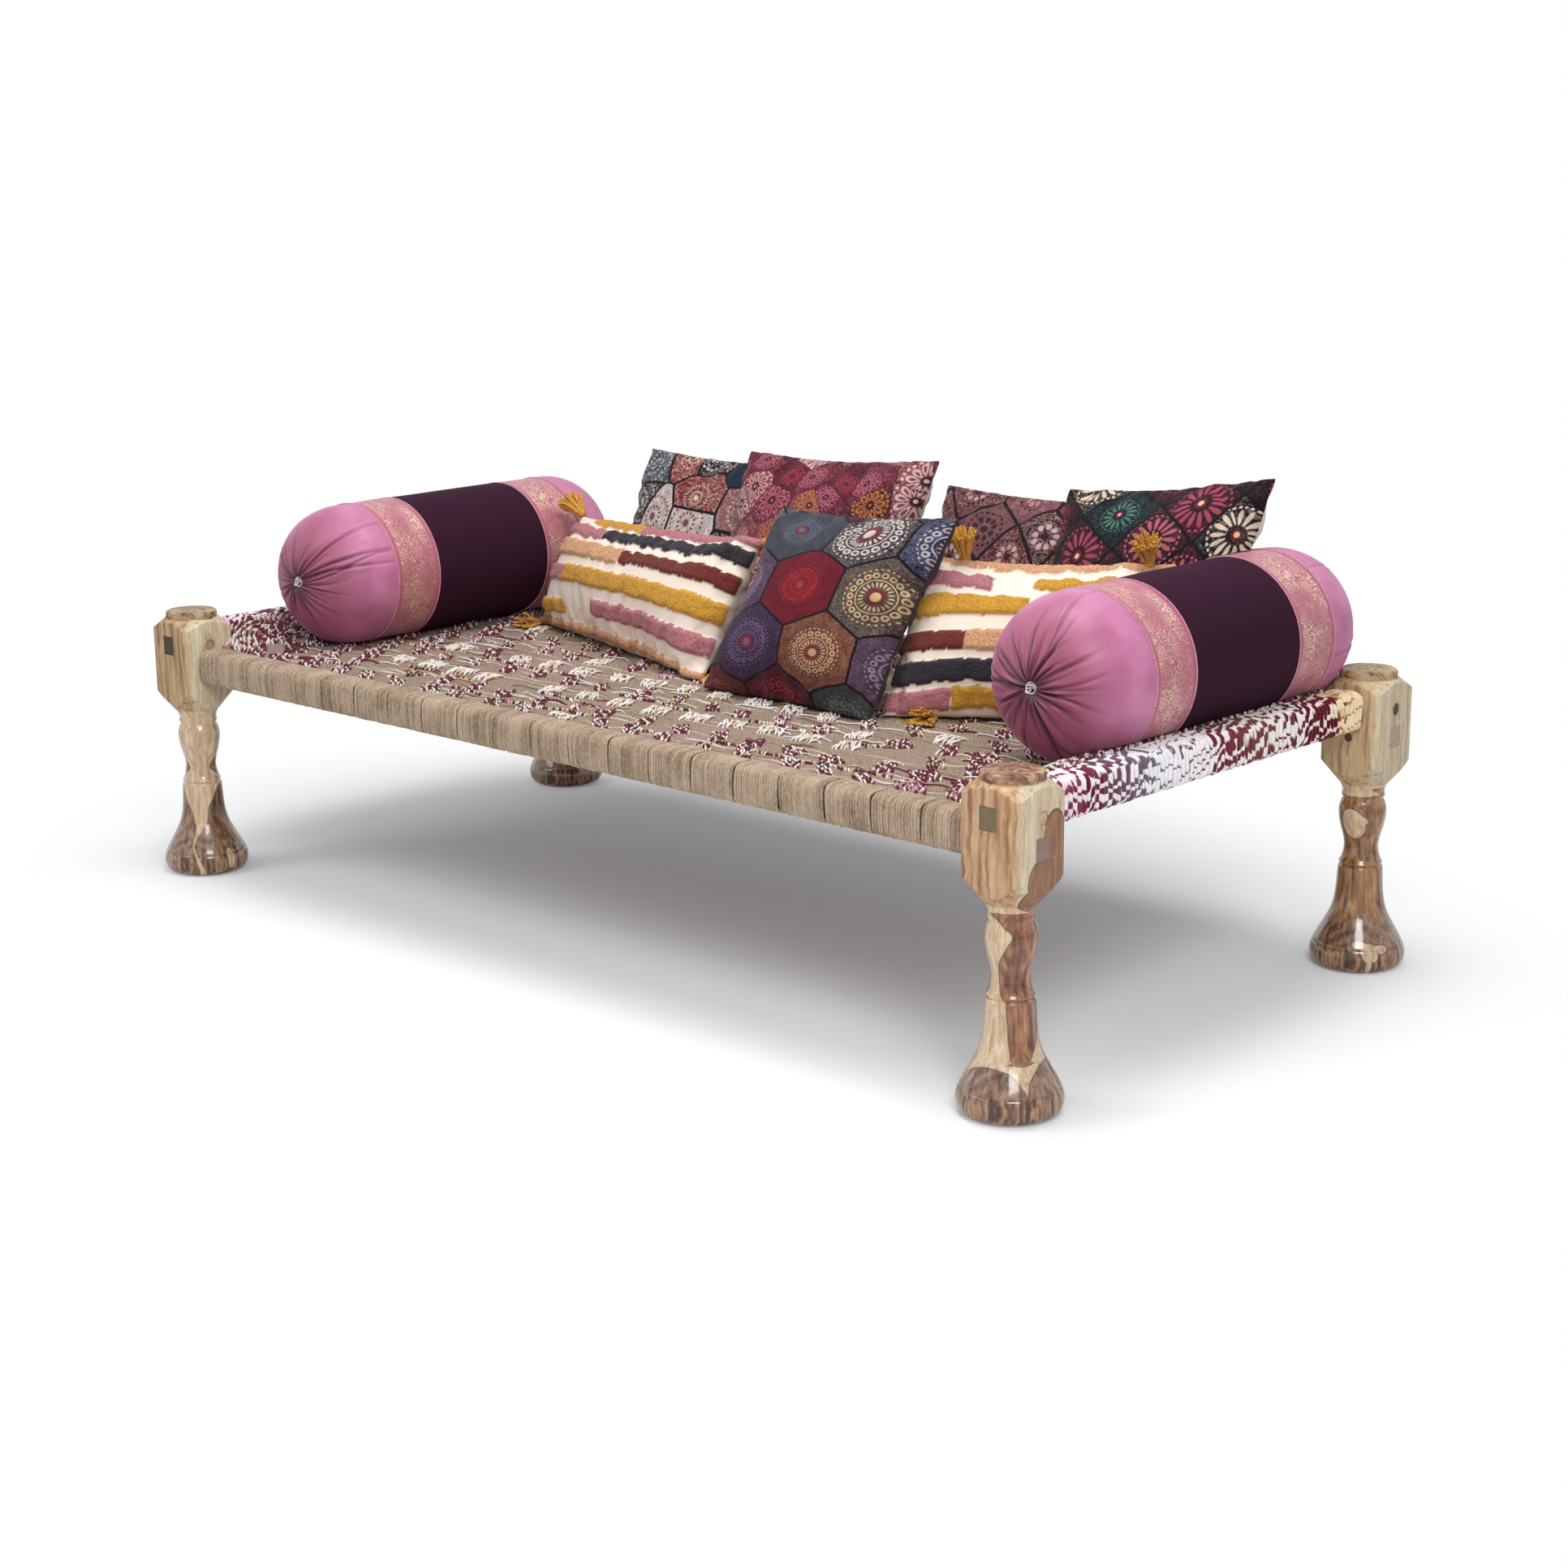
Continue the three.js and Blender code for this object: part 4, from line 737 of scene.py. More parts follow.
def ragLines():
    pick = random.Random(5)
    lines = []

    def lay(centre, slant, half, thick, finish):
        # a short bent strand whose ends go down into the ground
        room = half + 4 * mm
        if abs(centre.x) > bed["deckHalfLong"] - room or abs(centre.y) > bed["deckHalfWide"] - room:
            return
        way, aside = waysOf(slant)
        lift, bend = pick.uniform(-0.5, 0.5), pick.uniform(-1.6, 1.6) * mm
        points = [onDeck(centre + way * half * share + aside * (1 - share * share) * bend, rise + lift)
                  for share, rise in ((-1, -2.4), (-0.5, 0.8), (0.5, 0.8), (1, -2.4))]
        lines.append((points, [thick * size for size in (0.4, 1, 1, 0.4)], finish))

    rows = int(2 * (bed["deckHalfWide"] - 0.02) / deck["pitchWide"])
    columns = int(2 * bed["deckHalfLong"] / deck["pitchLong"]) + 1
    for row in range(rows + 1):
        y = -bed["deckHalfWide"] + 0.022 + row * deck["pitchWide"]
        for column in range(-columns // 2, columns // 2 + 1):
            x = (column + row % 2 / 2) * deck["pitchLong"]
            crowded = not ragPlaces["crowded"][0] <= x <= ragPlaces["crowded"][1]
            missing = not crowded and pick.random() < ragPlaces["missing"]
            if missing or not ragPlaces["full"][0] <= x <= ragPlaces["full"][1]:
                continue
            mix = ragRows[row % len(ragRows)] if pick.random() < 0.7 else pick.choice(list(ragGroups))
            if crowded:
                mix = pick.choice(("maroon", "plum", "maroon", "pink", "maroon"))
            brushed = mix == "white"
            look = ragStacks["brushed" if brushed else "crowded" if crowded else "plain"]
            slant = deck["slant"] + math.radians(pick.uniform(-10, 10) - (18 if brushed else 0))
            way, aside = waysOf(slant)
            middle = Vector((x + pick.uniform(-8, 8) * mm, y + pick.uniform(-8, 8) * mm))
            count = look["count"] + pick.choice((-1, 0, 0, 1))
            for level, stack in enumerate(look["stacks"]):
                for index in range(count):
                    half = pick.uniform(*look["half"]) * mm
                    offset = (index - (count - 1) / 2) * look["apart"] + pick.uniform(-1.0, 1.0)
                    reach = stack * look["rise"] + pick.uniform(-2.5, 2.5)
                    follow = pick.random() < 0.8
                    finish = ragGroups[mix][(index + level) % 6] if follow else pick.choice(ragGroups[mix])
                    lay(middle - aside * offset * mm + way * reach * mm,
                        slant + math.radians(pick.uniform(-20, 20)), half, pick.uniform(1.6, 2.2) * mm,
                        finish)
    # the lacing turns over the end rails, and there the rag lies packed
    for hand, start in ragPlaces["packed"].items():
        for row in range(ragPlaces["packedRows"]):
            y = (row - (ragPlaces["packedRows"] - 1) / 2) * ragPlaces["packedPitch"] * mm
            x = start + pick.uniform(0, 8) * mm
            while x < bed["deckHalfLong"]:
                fresh = noise.noise(Vector((hand * x * 16, y * 11, 4))) > 0
                slant = deck["slant"] + 0.5 * math.sin(x * 70 + y * 45)
                lay(Vector((hand * x, y)), slant, pick.uniform(4.4, 6.6) * mm, pick.uniform(1.7, 2.3) * mm,
                    pick.choice((1, 1, 2, 1, 0) if fresh else (0, 1, 0, 3, 1)))
                x += pick.uniform(9, 12) * mm
    sides = [[line for line in lines if (line[0][0][0] < 0) == isLeft] for isLeft in (True, False)]
    lines.clear()
    # lines of small dashes that run with the bed
    for y, x, end in ragPlaces["dashes"]:
        while x < end:
            if noise.noise(Vector((x * 7, y * 40, 2))) > -0.12:
                swing = math.sin(x * 21 + y * 50) * 7
                lay(Vector((x, y + (swing + pick.uniform(-1, 1)) * mm)), deck["slant"] + math.radians(
                    pick.uniform(-22, 12)), pick.uniform(3.8, 5.6) * mm, pick.uniform(1.5, 2.1) * mm,
                    pick.choice((0, 1, 3, 1, 0, 4)))
            x += pick.uniform(4.4, 6.4) * mm
    # long thin threads that run with the bed between the groups
    for thread in range(ragPlaces["threads"]):
        x, y = pick.uniform(-0.74, 0.74), pick.uniform(-0.365, 0.365)
        length, finish = pick.uniform(0.03, 0.085), pick.choice((1, 1, 4, 5, 1, 0))
        points = []
        for step in range(8):
            at = Vector((x + length * (step / 7 - 0.5),
                         y + (math.sin(step * 1.3 + x * 40) * 2.2 + step * 0.9) * mm))
            points.append(onDeck(at, 0.3 if 0 < step < 7 else -2.5))
        lines.append((points, [pick.uniform(0.9, 1.3) * mm], finish))
    return *sides, lines


for name, lines in zip(("ragStrands_left", "ragStrands_right", "ragThreads"), ragLines()):
    newPiece(ropeMesh(lines, ragColours, sides=0), name, "frame", "woven_jute")
print("deck is laced")


# Bolsters: where they lie, turned by degrees; the cap's profile is how far out it is and its share of the
# radius
bolsterLook = {"radius": 0.1175, "length": 0.676, "cap": 0.112, "seamIn": 0.122, "band": 0.090, "creases": 58,
               "steps": 420, "ringEvery": 0.008, "tuck": 0.10, "bloomScale": 26, "petals": 8, "soft": 6 * mm,
               "clear": 1.5 * mm}
bolsters = {"left": {"x": -0.7283, "y": 0.0225, "turn": 2.0, "seed": 4},
            "right": {"x": 0.7657, "y": 0.0990, "turn": 0.0, "seed": 9}}
capProfile = [(0, 1), (0.15, 0.996), (0.3, 0.972), (0.45, 0.925), (0.58, 0.86), (0.70, 0.765), (0.82, 0.64),
              (0.9, 0.5), (0.96, 0.36), (0.99, 0.24), (1, 0.16), (0.985, 0.1), (0.94, 0.05)]
for side, bolster in bolsters.items():
    bolster["z"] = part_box("bolster_" + side)[1].z - bolsterLook["radius"] + 1 * mm


def bolsterCloth():
    # one case of three cloths, told apart by the length along it: satin ends, brocade bands, a matte middle
    material, node = newFinish("bolsterSatinAndBrocade")
    uv = node("UVMap", uv_map="barrel")
    along = node("Math ABSOLUTE", node("SeparateXYZ", uv, give="X"))
    half, band, scale = bolsterLook["length"] / 2, bolsterLook["band"], bolsterLook["bloomScale"]
    capStart = half - bolsterLook["seamIn"]
    bandStart = capStart - band
    isCap = node("MapRange", along, capStart - 0.2 * mm, capStart + 0.2 * mm, 0, 1)
    isMiddle = node("MapRange", along, bandStart + 0.2 * mm, bandStart - 0.2 * mm, 0, 1)
    satin = node("TexNoise", uv, named={"Scale": 14, "Detail": 2})
    satin = node("ValToRGB", satin, stops=[(0.35, "#b5668c"), (0.62, "#ca7ea6")])
    # painted shade: darker towards the low side, towards the ties at the ends, and in the creases and the
    # gathered middle of each cap
    level = node("SeparateXYZ", node("TexCoord", give="Object"), give="Z")
    for amount, tint in ((node("MapRange", level, 0.40, 0.50, 0.25, 0), "#8e4a5a"),
                         (node("MapRange", along, capStart + 0.045, half - 0.008, 0, 0.9), "#954a62"),
                         (node("MapRange", node("Attribute", attribute_name="creaseShade", give="Fac"), 0, 1, 0,
                               0.85),
                          "#4a1f31")):
        satin = node("Mix RGBA", amount, satin, tint)
    # brocade: gold blossoms 38 mm apart with vines between them, woven on rose
    spots = node("TexVoronoi", named={"Vector": uv, "Scale": scale, "Randomness": 0.35},
                 voronoi_dimensions="2D", give="Position")
    offset = node("VectorMath MULTIPLY", node("VectorMath SUBTRACT", uv, spots), (scale, scale, 0))
    bit = node("SeparateXYZ", offset).node.outputs
    petals = node("Math MULTIPLY", node("Math ARCTAN2", bit["Y"], bit["X"]), bolsterLook["petals"])
    reach = node("VectorMath LENGTH", offset, give="Value")
    bloom = weighed(node, (node("Math COSINE", petals), 0.05), (reach, 1))
    ring = node("MapRange", node("Math SINE", node("Math MULTIPLY", bloom, 42)), 0.1, 0.5, 0, 1)
    ring = node("Math MULTIPLY", ring, node("MapRange", reach, 0.34, 0.30, 0, 1))
    vines = node("TexNoise", uv, named={"Scale": 85, "Detail": 2, "Distortion": 2.5})
    vines = node("MapRange", node("Math ABSOLUTE", node("Math SUBTRACT", vines, 0.5)), 0.06, 0.03, 0, 1)
    vines = node("Math MULTIPLY", vines, node("MapRange", reach, 0.32, 0.38, 0, 1))
    fromMiddle = node("Math ABSOLUTE", node("Math SUBTRACT", along, (capStart + bandStart) / 2))
    wear = node("TexNoise", uv, named={"Scale": 16, "Detail": 2})
    gold = node("Math MAXIMUM", ring, vines)
    for share in (node("MapRange", fromMiddle, 0.40 * band, 0.42 * band, 1, 0),
                  node("MapRange", wear, 0.38, 0.64, 0.15, 0.9)):
        gold = node("Math MULTIPLY", gold, share)
    brocade = node("Mix RGBA", gold, "#b06273", "#f6e0c4")
    # the middle is a fine plain weave, threads drawn 1.2 mm apart
    threads = node("TexWave", uv, named={"Scale": 420, "Distortion": 1}, wave_type="BANDS",
                   bands_direction="X")
    middle = node("Mix RGBA", threads, "#2c1423", "#391b2e")
    colour = node("Mix RGBA", isMiddle, node("Mix RGBA", isCap, brocade, satin), middle)
    metal = node("Math SUBTRACT", 1.0, node("Math MAXIMUM", isCap, isMiddle))
    metal = node("Math MULTIPLY", metal, node("Math MULTIPLY", gold, 0.75))
    roughness, sheen, specular = (node("Mix FLOAT", isMiddle, *pair)
                                  for pair in ((0.42, 0.85), (0.45, 0.02), (0.4, 0.08)))
    weave = node("TexNoise", uv, named={"Scale": 900, "Detail": 1})
    closeFinish(node, colour=colour, roughness=roughness, metallic=metal, sheen=sheen, sheenRoughness=0.35,
                sheenTint="#e9a0d8", specular=specular,
                relief=(weighed(node, (gold, 1.2), (weave, 1)), 0.25, 0.4 * mm))
    return material


def unroll(mesh, height, turn):
    # lays the case out flat: along its length and round it, in metres
    loops, starts, totals = (np.empty(len(many), int) for many in (mesh.loops, mesh.polygons, mesh.polygons))
    mesh.loops.foreach_get("vertex_index", loops)
    mesh.polygons.foreach_get("loop_start", starts)
    mesh.polygons.foreach_get("loop_total", totals)
    turns = turn[loops]
    first = np.repeat(turns[starts], totals)
    turns = turns - math.tau * np.round((turns - first) / math.tau)
    flat = np.stack([height[loops], turns * bolsterLook["radius"]], 1)
    mesh.uv_layers.new(name="barrel").data.foreach_set("uv", flat.ravel())


def creaseEnds(points, height, turn, seed):
    # creases run out from each tie, each its own length, depth and slant; gives the painted shade of creases
    # and tie
    half, cap, radius = bolsterLook["length"] / 2, bolsterLook["cap"], bolsterLook["radius"]
    flatReach = np.hypot(points[:, 0], points[:, 1])
    share = flatReach / radius
    pick = random.Random(seed)
    foldShade = np.zeros(len(points))
    for end in (-1, 1):
        reach = np.clip((height * end - (half - cap)) / cap, -0.6, 1)
        run = np.where(height * end > half - cap * 1.6, 1.0, 0.0)
        outward = np.where(reach >= 0, share * 0.8, 0.8 + np.clip(-reach, 0, 1))
        for crease in range(bolsterLook["creases"]):
            at = math.tau * (crease + pick.uniform(-0.45, 0.45)) / bolsterLook["creases"]
            length = pick.choice((0.36, 0.42, 0.48, 0.54, 0.6, 0.68, 0.76, 0.95))
            depth = pick.uniform(1.6, 4.2) * mm
            slant = pick.uniform(-0.5, 0.5)
            width = pick.uniform(2.2, 4.6) * mm * (0.45 + 0.45 * share)
            away = (turn - at - slant * outward ** 1.5 + math.pi) % math.tau - math.pi
            away = away * np.maximum(flatReach, 9 * mm)
            window = smoothShare((length - outward) / 0.42) * smoothShare(outward / 0.10) * run * depth
            dip = np.exp(-(away / width) ** 2)
            push = (dip - 0.35 * np.exp(-((np.abs(away) - width * 2.4) / width / 1.6) ** 2)) * window
            # painted shade: darker the deeper the crease
            foldShade += dip * window / (3.4 * mm)
            inward = push / np.maximum(flatReach, 0.02) * np.where(reach < 0, 1, np.clip(share, 0.2, 1))
            points[:, :2] *= (1 - inward)[:, None]
            points[:, 2] -= end * push * np.clip(1.1 - share, 0, 1) * 0.9
        # painted shade in the gathered cloth right at the tie
        foldShade += run * smoothShare((0.13 - share) / 0.08)
    return np.clip(foldShade, 0, 1)


def bolsterCase(side, bolster, lie, cloth):
    # the case, creased, a little uneven, and pressed flat where it rests on the deck
    half, cap, radius = bolsterLook["length"] / 2, bolsterLook["cap"], bolsterLook["radius"]
    every, soft = bolsterLook["ringEvery"], bolsterLook["soft"]
    profile = [(0, half - cap * bolsterLook["tuck"])]
    profile += [(radius * share, half - cap * (1 - reach))
                for reach, share in reversed(roundedProfile(capProfile, 2))]
    profile += [(radius, half - cap - step * every) for step in range(1, int((half - cap) / every))]
    profile += [(wide, -level) for wide, level in reversed(profile)]
    piece = newPiece(spunPiece(profile, bolsterLook["steps"]), "bolsterCase_" + side, "bolster_" + side,
                     "satin", cloth)
    points = pointsOf(piece.data)
    height, turn = points[:, 2].copy(), np.arctan2(points[:, 1], points[:, 0])
    unroll(piece.data, height, turn)
    foldShade = creaseEnds(points, height, turn, bolster["seed"])
    # the painted shade of the creases and ties, which darkens the satin's colour
    piece.data.attributes.new("creaseShade", "FLOAT", "POINT").data.foreach_set("value", foldShade)
    for index, point in enumerate(points):
        swell = noise.noise(Vector(point) * 9 + Vector((bolster["seed"], 0, 0))) * 1.6 * mm
        points[index, :2] *= 1 + swell / radius
    points = points @ np.array(lie.to_3x3()).T + np.array(lie.translation)
    rest = deckTop(points[:, 0], points[:, 1]) + bolsterLook["clear"]
    gap = points[:, 2] - rest
    points[:, 2] = rest + np.where(gap > soft, gap, np.where(gap < -soft, 0, (gap + soft) ** 2 / (4 * soft)))
    setPoints(piece.data, points)
    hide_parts("bolster_" + side)


threadLook = {"scale": 600, "depth": 0.5 * mm, "roughness": 0.85, "sheen": 0.15, "sheenRoughness": 0.4,
              "specular": 0.15}
caseCloth = bolsterCloth()
pipingThread = cottonStrand("satinPiping", "#b87389", "#dba3b4", **threadLook)
tieThread = cottonStrand("cottonTieThread", "#cfc6c2", "#f6f2ee", **threadLook)
# the tie's loops in millimetres: radius, thickness, x, y, how far in from the end, lean in degrees, and steps
tieLoops = ((7.6, 1.2, 0, 0, 3.4, 0, 30), (4.2, 0.9, 2.6, 3.0, 1.2, 50, 20),
            (3.6, 0.9, -2.8, -3.2, 1.2, -40, 20))
piping = {"tube": 1.1 * mm, "out": 0.2 * mm, "sides": 6, "steps": 120, "clear": 0.4 * mm}
for side, bolster in bolsters.items():
    half = bolsterLook["length"] / 2
    lie = Matrix.Translation((bolster["x"], bolster["y"], bolster["z"])) @ Matrix.Rotation(
        math.radians(bolster["turn"]), 4, "Z") @ Matrix.Rotation(math.pi / 2, 4, "X")
    bolsterCase(side, bolster, lie, caseCloth)
    outer = half - bolsterLook["seamIn"]
    inner = outer - bolsterLook["band"]
    for seam in (outer, inner, -outer, -inner):
        work = bmesh.new()
        spunRing(work, Matrix.Translation((0, 0, seam)), bolsterLook["radius"] + piping["out"],
                 piping["tube"], piping["sides"], piping["steps"])
        closeShape(work)
        bmesh.ops.transform(work, matrix=lie, verts=work.verts)
        keptAbove(work, piping["clear"])
        name = f"piping_{side}_{round(seam * 1000)}".replace("-", "m")
        newPiece(work, name, "bolster_" + side, "satin", pipingThread)
    # the tie: three turns of thread and a knot
    for end, hand in (("front", 1), ("back", -1)):
        work = bmesh.new()
        for loopRadius, tube, x, y, inset, lean, steps in tieLoops:
            place = Matrix.Translation((x * mm, y * mm, hand * (half - inset * mm))) @ Matrix.Rotation(
                math.radians(lean), 4, "X")
            spunRing(work, place, loopRadius * mm, tube * mm, 8, steps)
        closeShape(work)
        bmesh.ops.transform(work, matrix=lie, verts=work.verts)
        tie = newPiece(work, f"threadTie_{side}_{end}", "bolster_" + side, "thread", tieThread)
        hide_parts(f"bolster_tie_{side}_{end}")
print("bolsters are stuffed")


# Cushions, as their solids have them: the lower seam's ends in metres, then each side's height, lean in
# degrees and slip along the seam
cushions = {
    "striped_left": {"seam": ((-0.6001, 0.1198), (-0.0305, -0.0554)), "thick": 0.125, "left": (0.206, 25, 0),
                     "right": (0.244, 28, 0), "seed": 2},
    "hexagon": {"seam": ((0.0093, -0.0920), (0.3670, -0.1070)), "thick": 0.120, "left": (0.314, 29, 0.028),
                "right": (0.326, 26, 0.048), "seed": 3},
    "striped_right": {"seam": ((0.3559, -0.0666), (0.7108, 0.1221)), "thick": 0.105,
                      "left": (0.252, 29, 0.024), "right": (0.250, 29, 0.012), "seed": 4},
    "floral": {"seam": ((-0.2490, 0.1500), (0.1640, 0.1500)), "thick": 0.110, "left": (0.349, 24, 0),
               "right": (0.364, 24, 0), "seed": 5},
    "daisy": {"seam": ((0.3990, 0.1900), (0.7621, 0.1900)), "thick": 0.105, "left": (0.332, 24, 0),
              "right": (0.369, 24, 0), "seed": 6},
    "patchwork": {"seam": ((-0.5632, 0.2320), (-0.1632, 0.2320)), "thick": 0.095, "left": (0.321, 24, 0),
                  "right": (0.321, 24, 0), "seed": 7},
    "diamond": {"seam": ((0.0996, 0.2700), (0.4996, 0.2700)), "thick": 0.090, "left": (0.305, 24, 0),
                "right": (0.305, 24, 0), "seed": 8},
}
cloth = {"cell": 5.2 * mm, "frames": 20, "pressure": 3.2, "grow": -0.08, "startFullness": 0.8,
         "sideDraw": 0.05, "endDraw": 0.045, "crown": 0.4, "sink": 0.0037, "ripple": 0.25 * mm,
         "quality": 6, "mass": 0.2, "tension": 12, "shear": 4, "bending": 0.15, "clear": 1.2 * mm}
for cushion in cushions.values():
    cushion["width"] = math.dist(*cushion["seam"])
    cushion["tall"] = (cushion["left"][0] + cushion["right"][0]) / 2


def cushionFrame(cushion):
    # its four corners, and the way that its front faces
    lowers = [Vector((x, y, float(deckTop(x, y)) - cloth["sink"])) for x, y in cushion["seam"]]
    along = lowers[1] - lowers[0]
    along = Vector((along.x, along.y, 0)).normalized()
    back = Vector((-along.y, along.x, 0))
    uppers = []
    for corner, (tall, lean, slip) in zip(lowers, (cushion["left"], cushion["right"])):
        lean = math.radians(lean)
        upwards = Vector((0, 0, tall * math.cos(lean)))
        uppers.append(corner + along * slip + back * tall * math.sin(lean) + upwards)
    lean = math.radians((cushion["left"][1] + cushion["right"][1]) / 2)
    out = Vector((0, 0, math.sin(lean))) - back * math.cos(lean)
    return [np.array(corner) for corner in (*lowers, *uppers)], np.array(out)


def cushionMiddle(cushion, across, rise):
    # places on the sheet halfway through the cushion, whose sides draw in between the corners
    lowerLeft, lowerRight, upperLeft, upperRight = cushionFrame(cushion)[0]
    acrossIn = (0.5 + (across - 0.5) * (1 - cloth["sideDraw"] * 4 * rise * (1 - rise)))[:, None]
    riseIn = (0.5 + (rise - 0.5) * (1 - cloth["endDraw"] * 4 * across * (1 - across)))[:, None]
    lower = lowerLeft + (lowerRight - lowerLeft) * acrossIn
    upper = upperLeft + (upperRight - upperLeft) * acrossIn
    return lower + (upper - lower) * riseIn


def swellAt(cushion, across, rise):
    crown = np.clip(4 * across * (1 - across), 0, 1) * np.clip(4 * rise * (1 - rise), 0, 1)
    return cushion["thick"] / 2 * crown ** cloth["crown"]


def sewnCover(name, cushion):
    # two panels sewn round the rim; the front panel is material 0 and the back one material 1
    columns, rows = (round(cushion[size] / cloth["cell"]) for size in ("width", "tall"))
    work = bmesh.new()
    bmesh.ops.create_grid(work, x_segments=columns, y_segments=rows, size=0.5)
    bmesh.ops.translate(work, verts=work.verts, vec=(0.5, 0.5, 0))
    layer = work.loops.layers.uv.new("cloth")
    for face in work.faces:
        for loop in face.loops:
            loop[layer].uv = (loop.vert.co.x * cushion["width"], loop.vert.co.y * cushion["tall"])
    copy = bmesh.ops.duplicate(work, geom=work.verts[:] + work.edges[:] + work.faces[:])["geom"]
    backFaces = [part for part in copy if isinstance(part, bmesh.types.BMFace)]
    for part in copy:
        if isinstance(part, bmesh.types.BMVert):
            inner = min(part.co.x, part.co.y, 1 - part.co.x, 1 - part.co.y) > mergeReach
            part.co.z = -1 if inner else 0
    for face in backFaces:
        face.material_index = 1
    bmesh.ops.reverse_faces(work, faces=backFaces)
    bmesh.ops.remove_doubles(work, verts=work.verts, dist=mergeReach)
    cover = newObject(work, name)
    grid = pointsOf(cover.data)
    across, rise, side = grid[:, 0], grid[:, 1], np.where(grid[:, 2] < -0.5, -1.0, 1.0)
    rim = np.minimum(np.minimum(across, rise), np.minimum(1 - across, 1 - rise)) < mergeReach
    ripple = np.random.default_rng(cushion["seed"]).normal(0, cloth["ripple"], len(grid)) * ~rim
    out = cushionFrame(cushion)[1]
    swell = swellAt(cushion, across, rise) * cloth["startFullness"]
    setPoints(cover.data, cushionMiddle(cushion, across, rise) + out * (side * swell + ripple)[:, None])
    cushion.update(across=across, rise=rise)
    cover.vertex_groups.new(name="seam").add(np.nonzero(rim)[0].tolist(), 1, "REPLACE")
    return cover


covers = {name: sewnCover("cover_" + name, cushion) for name, cushion in cushions.items()}
# filling pushes the slightly oversized cloth out against its sewn rim, which wrinkles it
for cover in covers.values():
    modifier = cover.modifiers.new("cloth", "CLOTH")
    for name, value in {"quality": cloth["quality"], "mass": cloth["mass"],
                        "tension_stiffness": cloth["tension"],
                        "compression_stiffness": cloth["tension"], "shear_stiffness": cloth["shear"],
                        "bending_stiffness": cloth["bending"], "use_pressure": True,
                        "uniform_pressure_force": cloth["pressure"], "vertex_group_mass": "seam",
                        "pin_stiffness": 1, "shrink_min": cloth["grow"]}.items():
        setattr(modifier.settings, name, value)
    modifier.settings.effector_weights.gravity = 0
    modifier.collision_settings.use_collision = False
    modifier.point_cache.frame_end = cloth["frames"]
for number in range(1, cloth["frames"] + 1):
    bpy.context.scene.frame_set(number)
for cover in covers.values():
    applyModifiers(cover)
bpy.context.scene.frame_set(1)
print("cushion covers are filled")


def settled(points, cushion):
    # held to the room that the cushion has: its thickness, the deck under it and the bolsters beside it
    across, rise = cushion["across"], cushion["rise"]
    out = cushionFrame(cushion)[1]
    depth = (points - cushionMiddle(cushion, across, rise)) @ out
    ratio = depth / (swellAt(cushion, across, rise) * 1.02 + 2 * mm)
    points = points + out * (depth / (1 + np.abs(ratio / 1.06) ** 6) ** (1 / 6) - depth)[:, None]
    half, cap = bolsterLook["length"] / 2, bolsterLook["cap"]
    for bolster in bolsters.values():
        turn = math.radians(bolster["turn"])
        axis = np.array([-math.sin(turn), math.cos(turn), 0])
        centre = np.array([bolster[key] for key in "xyz"])
        along = (points - centre) @ axis
        flat = points - centre - along[:, None] * axis
        reach = np.linalg.norm(flat, axis=1)
        capIn = np.clip((np.abs(along) - (half - cap)) / cap, 0, 1)
        wanted = (bolsterLook["radius"] + cloth["clear"]) * np.sqrt(1 - capIn ** 2.2)
        inwards = -1 if bolster["x"] > 0 else 1
        under = (flat[:, 2] < 0) & (np.abs(flat[:, 0]) < wanted) & (np.abs(along) < half)
        points[:, 0] = np.where(under, centre[0] + inwards * wanted + along * axis[0], points[:, 0])
        inside = (reach < wanted) & (flat[:, 2] >= 0)
        push = (wanted / np.maximum(reach, 1e-6))[:, None]
        points = np.where(inside[:, None], centre + along[:, None] * axis + flat * push, points)
    points[:, 2] = np.maximum(points[:, 2], deckTop(points[:, 0], points[:, 1]) + cloth["clear"])
    return points


# each cover is kept off the ones before it, and then made smooth
trees = []
for name, cushion in cushions.items():
    cover = covers[name]
    points = settled(pointsOf(cover.data), cushion)
    for neighbour in trees:
        for index, point in enumerate(points):
            found, normal, *_ = neighbour.find_nearest(Vector(point), 0.05)
            if found is not None and (Vector(point) - found).dot(normal) < 1.0 * mm:
                points[index] = found + normal * cloth["clear"]
    setPoints(cover.data, points)
    subdivision = cover.modifiers.new("smooth", "SUBSURF")
    subdivision.levels = subdivision.render_levels = 1
    applyModifiers(cover)
    work = bmesh.new()
    work.from_mesh(cover.data)
    trees.append(BVHTree.FromBMesh(work))
    work.free()
print("cushions are placed")


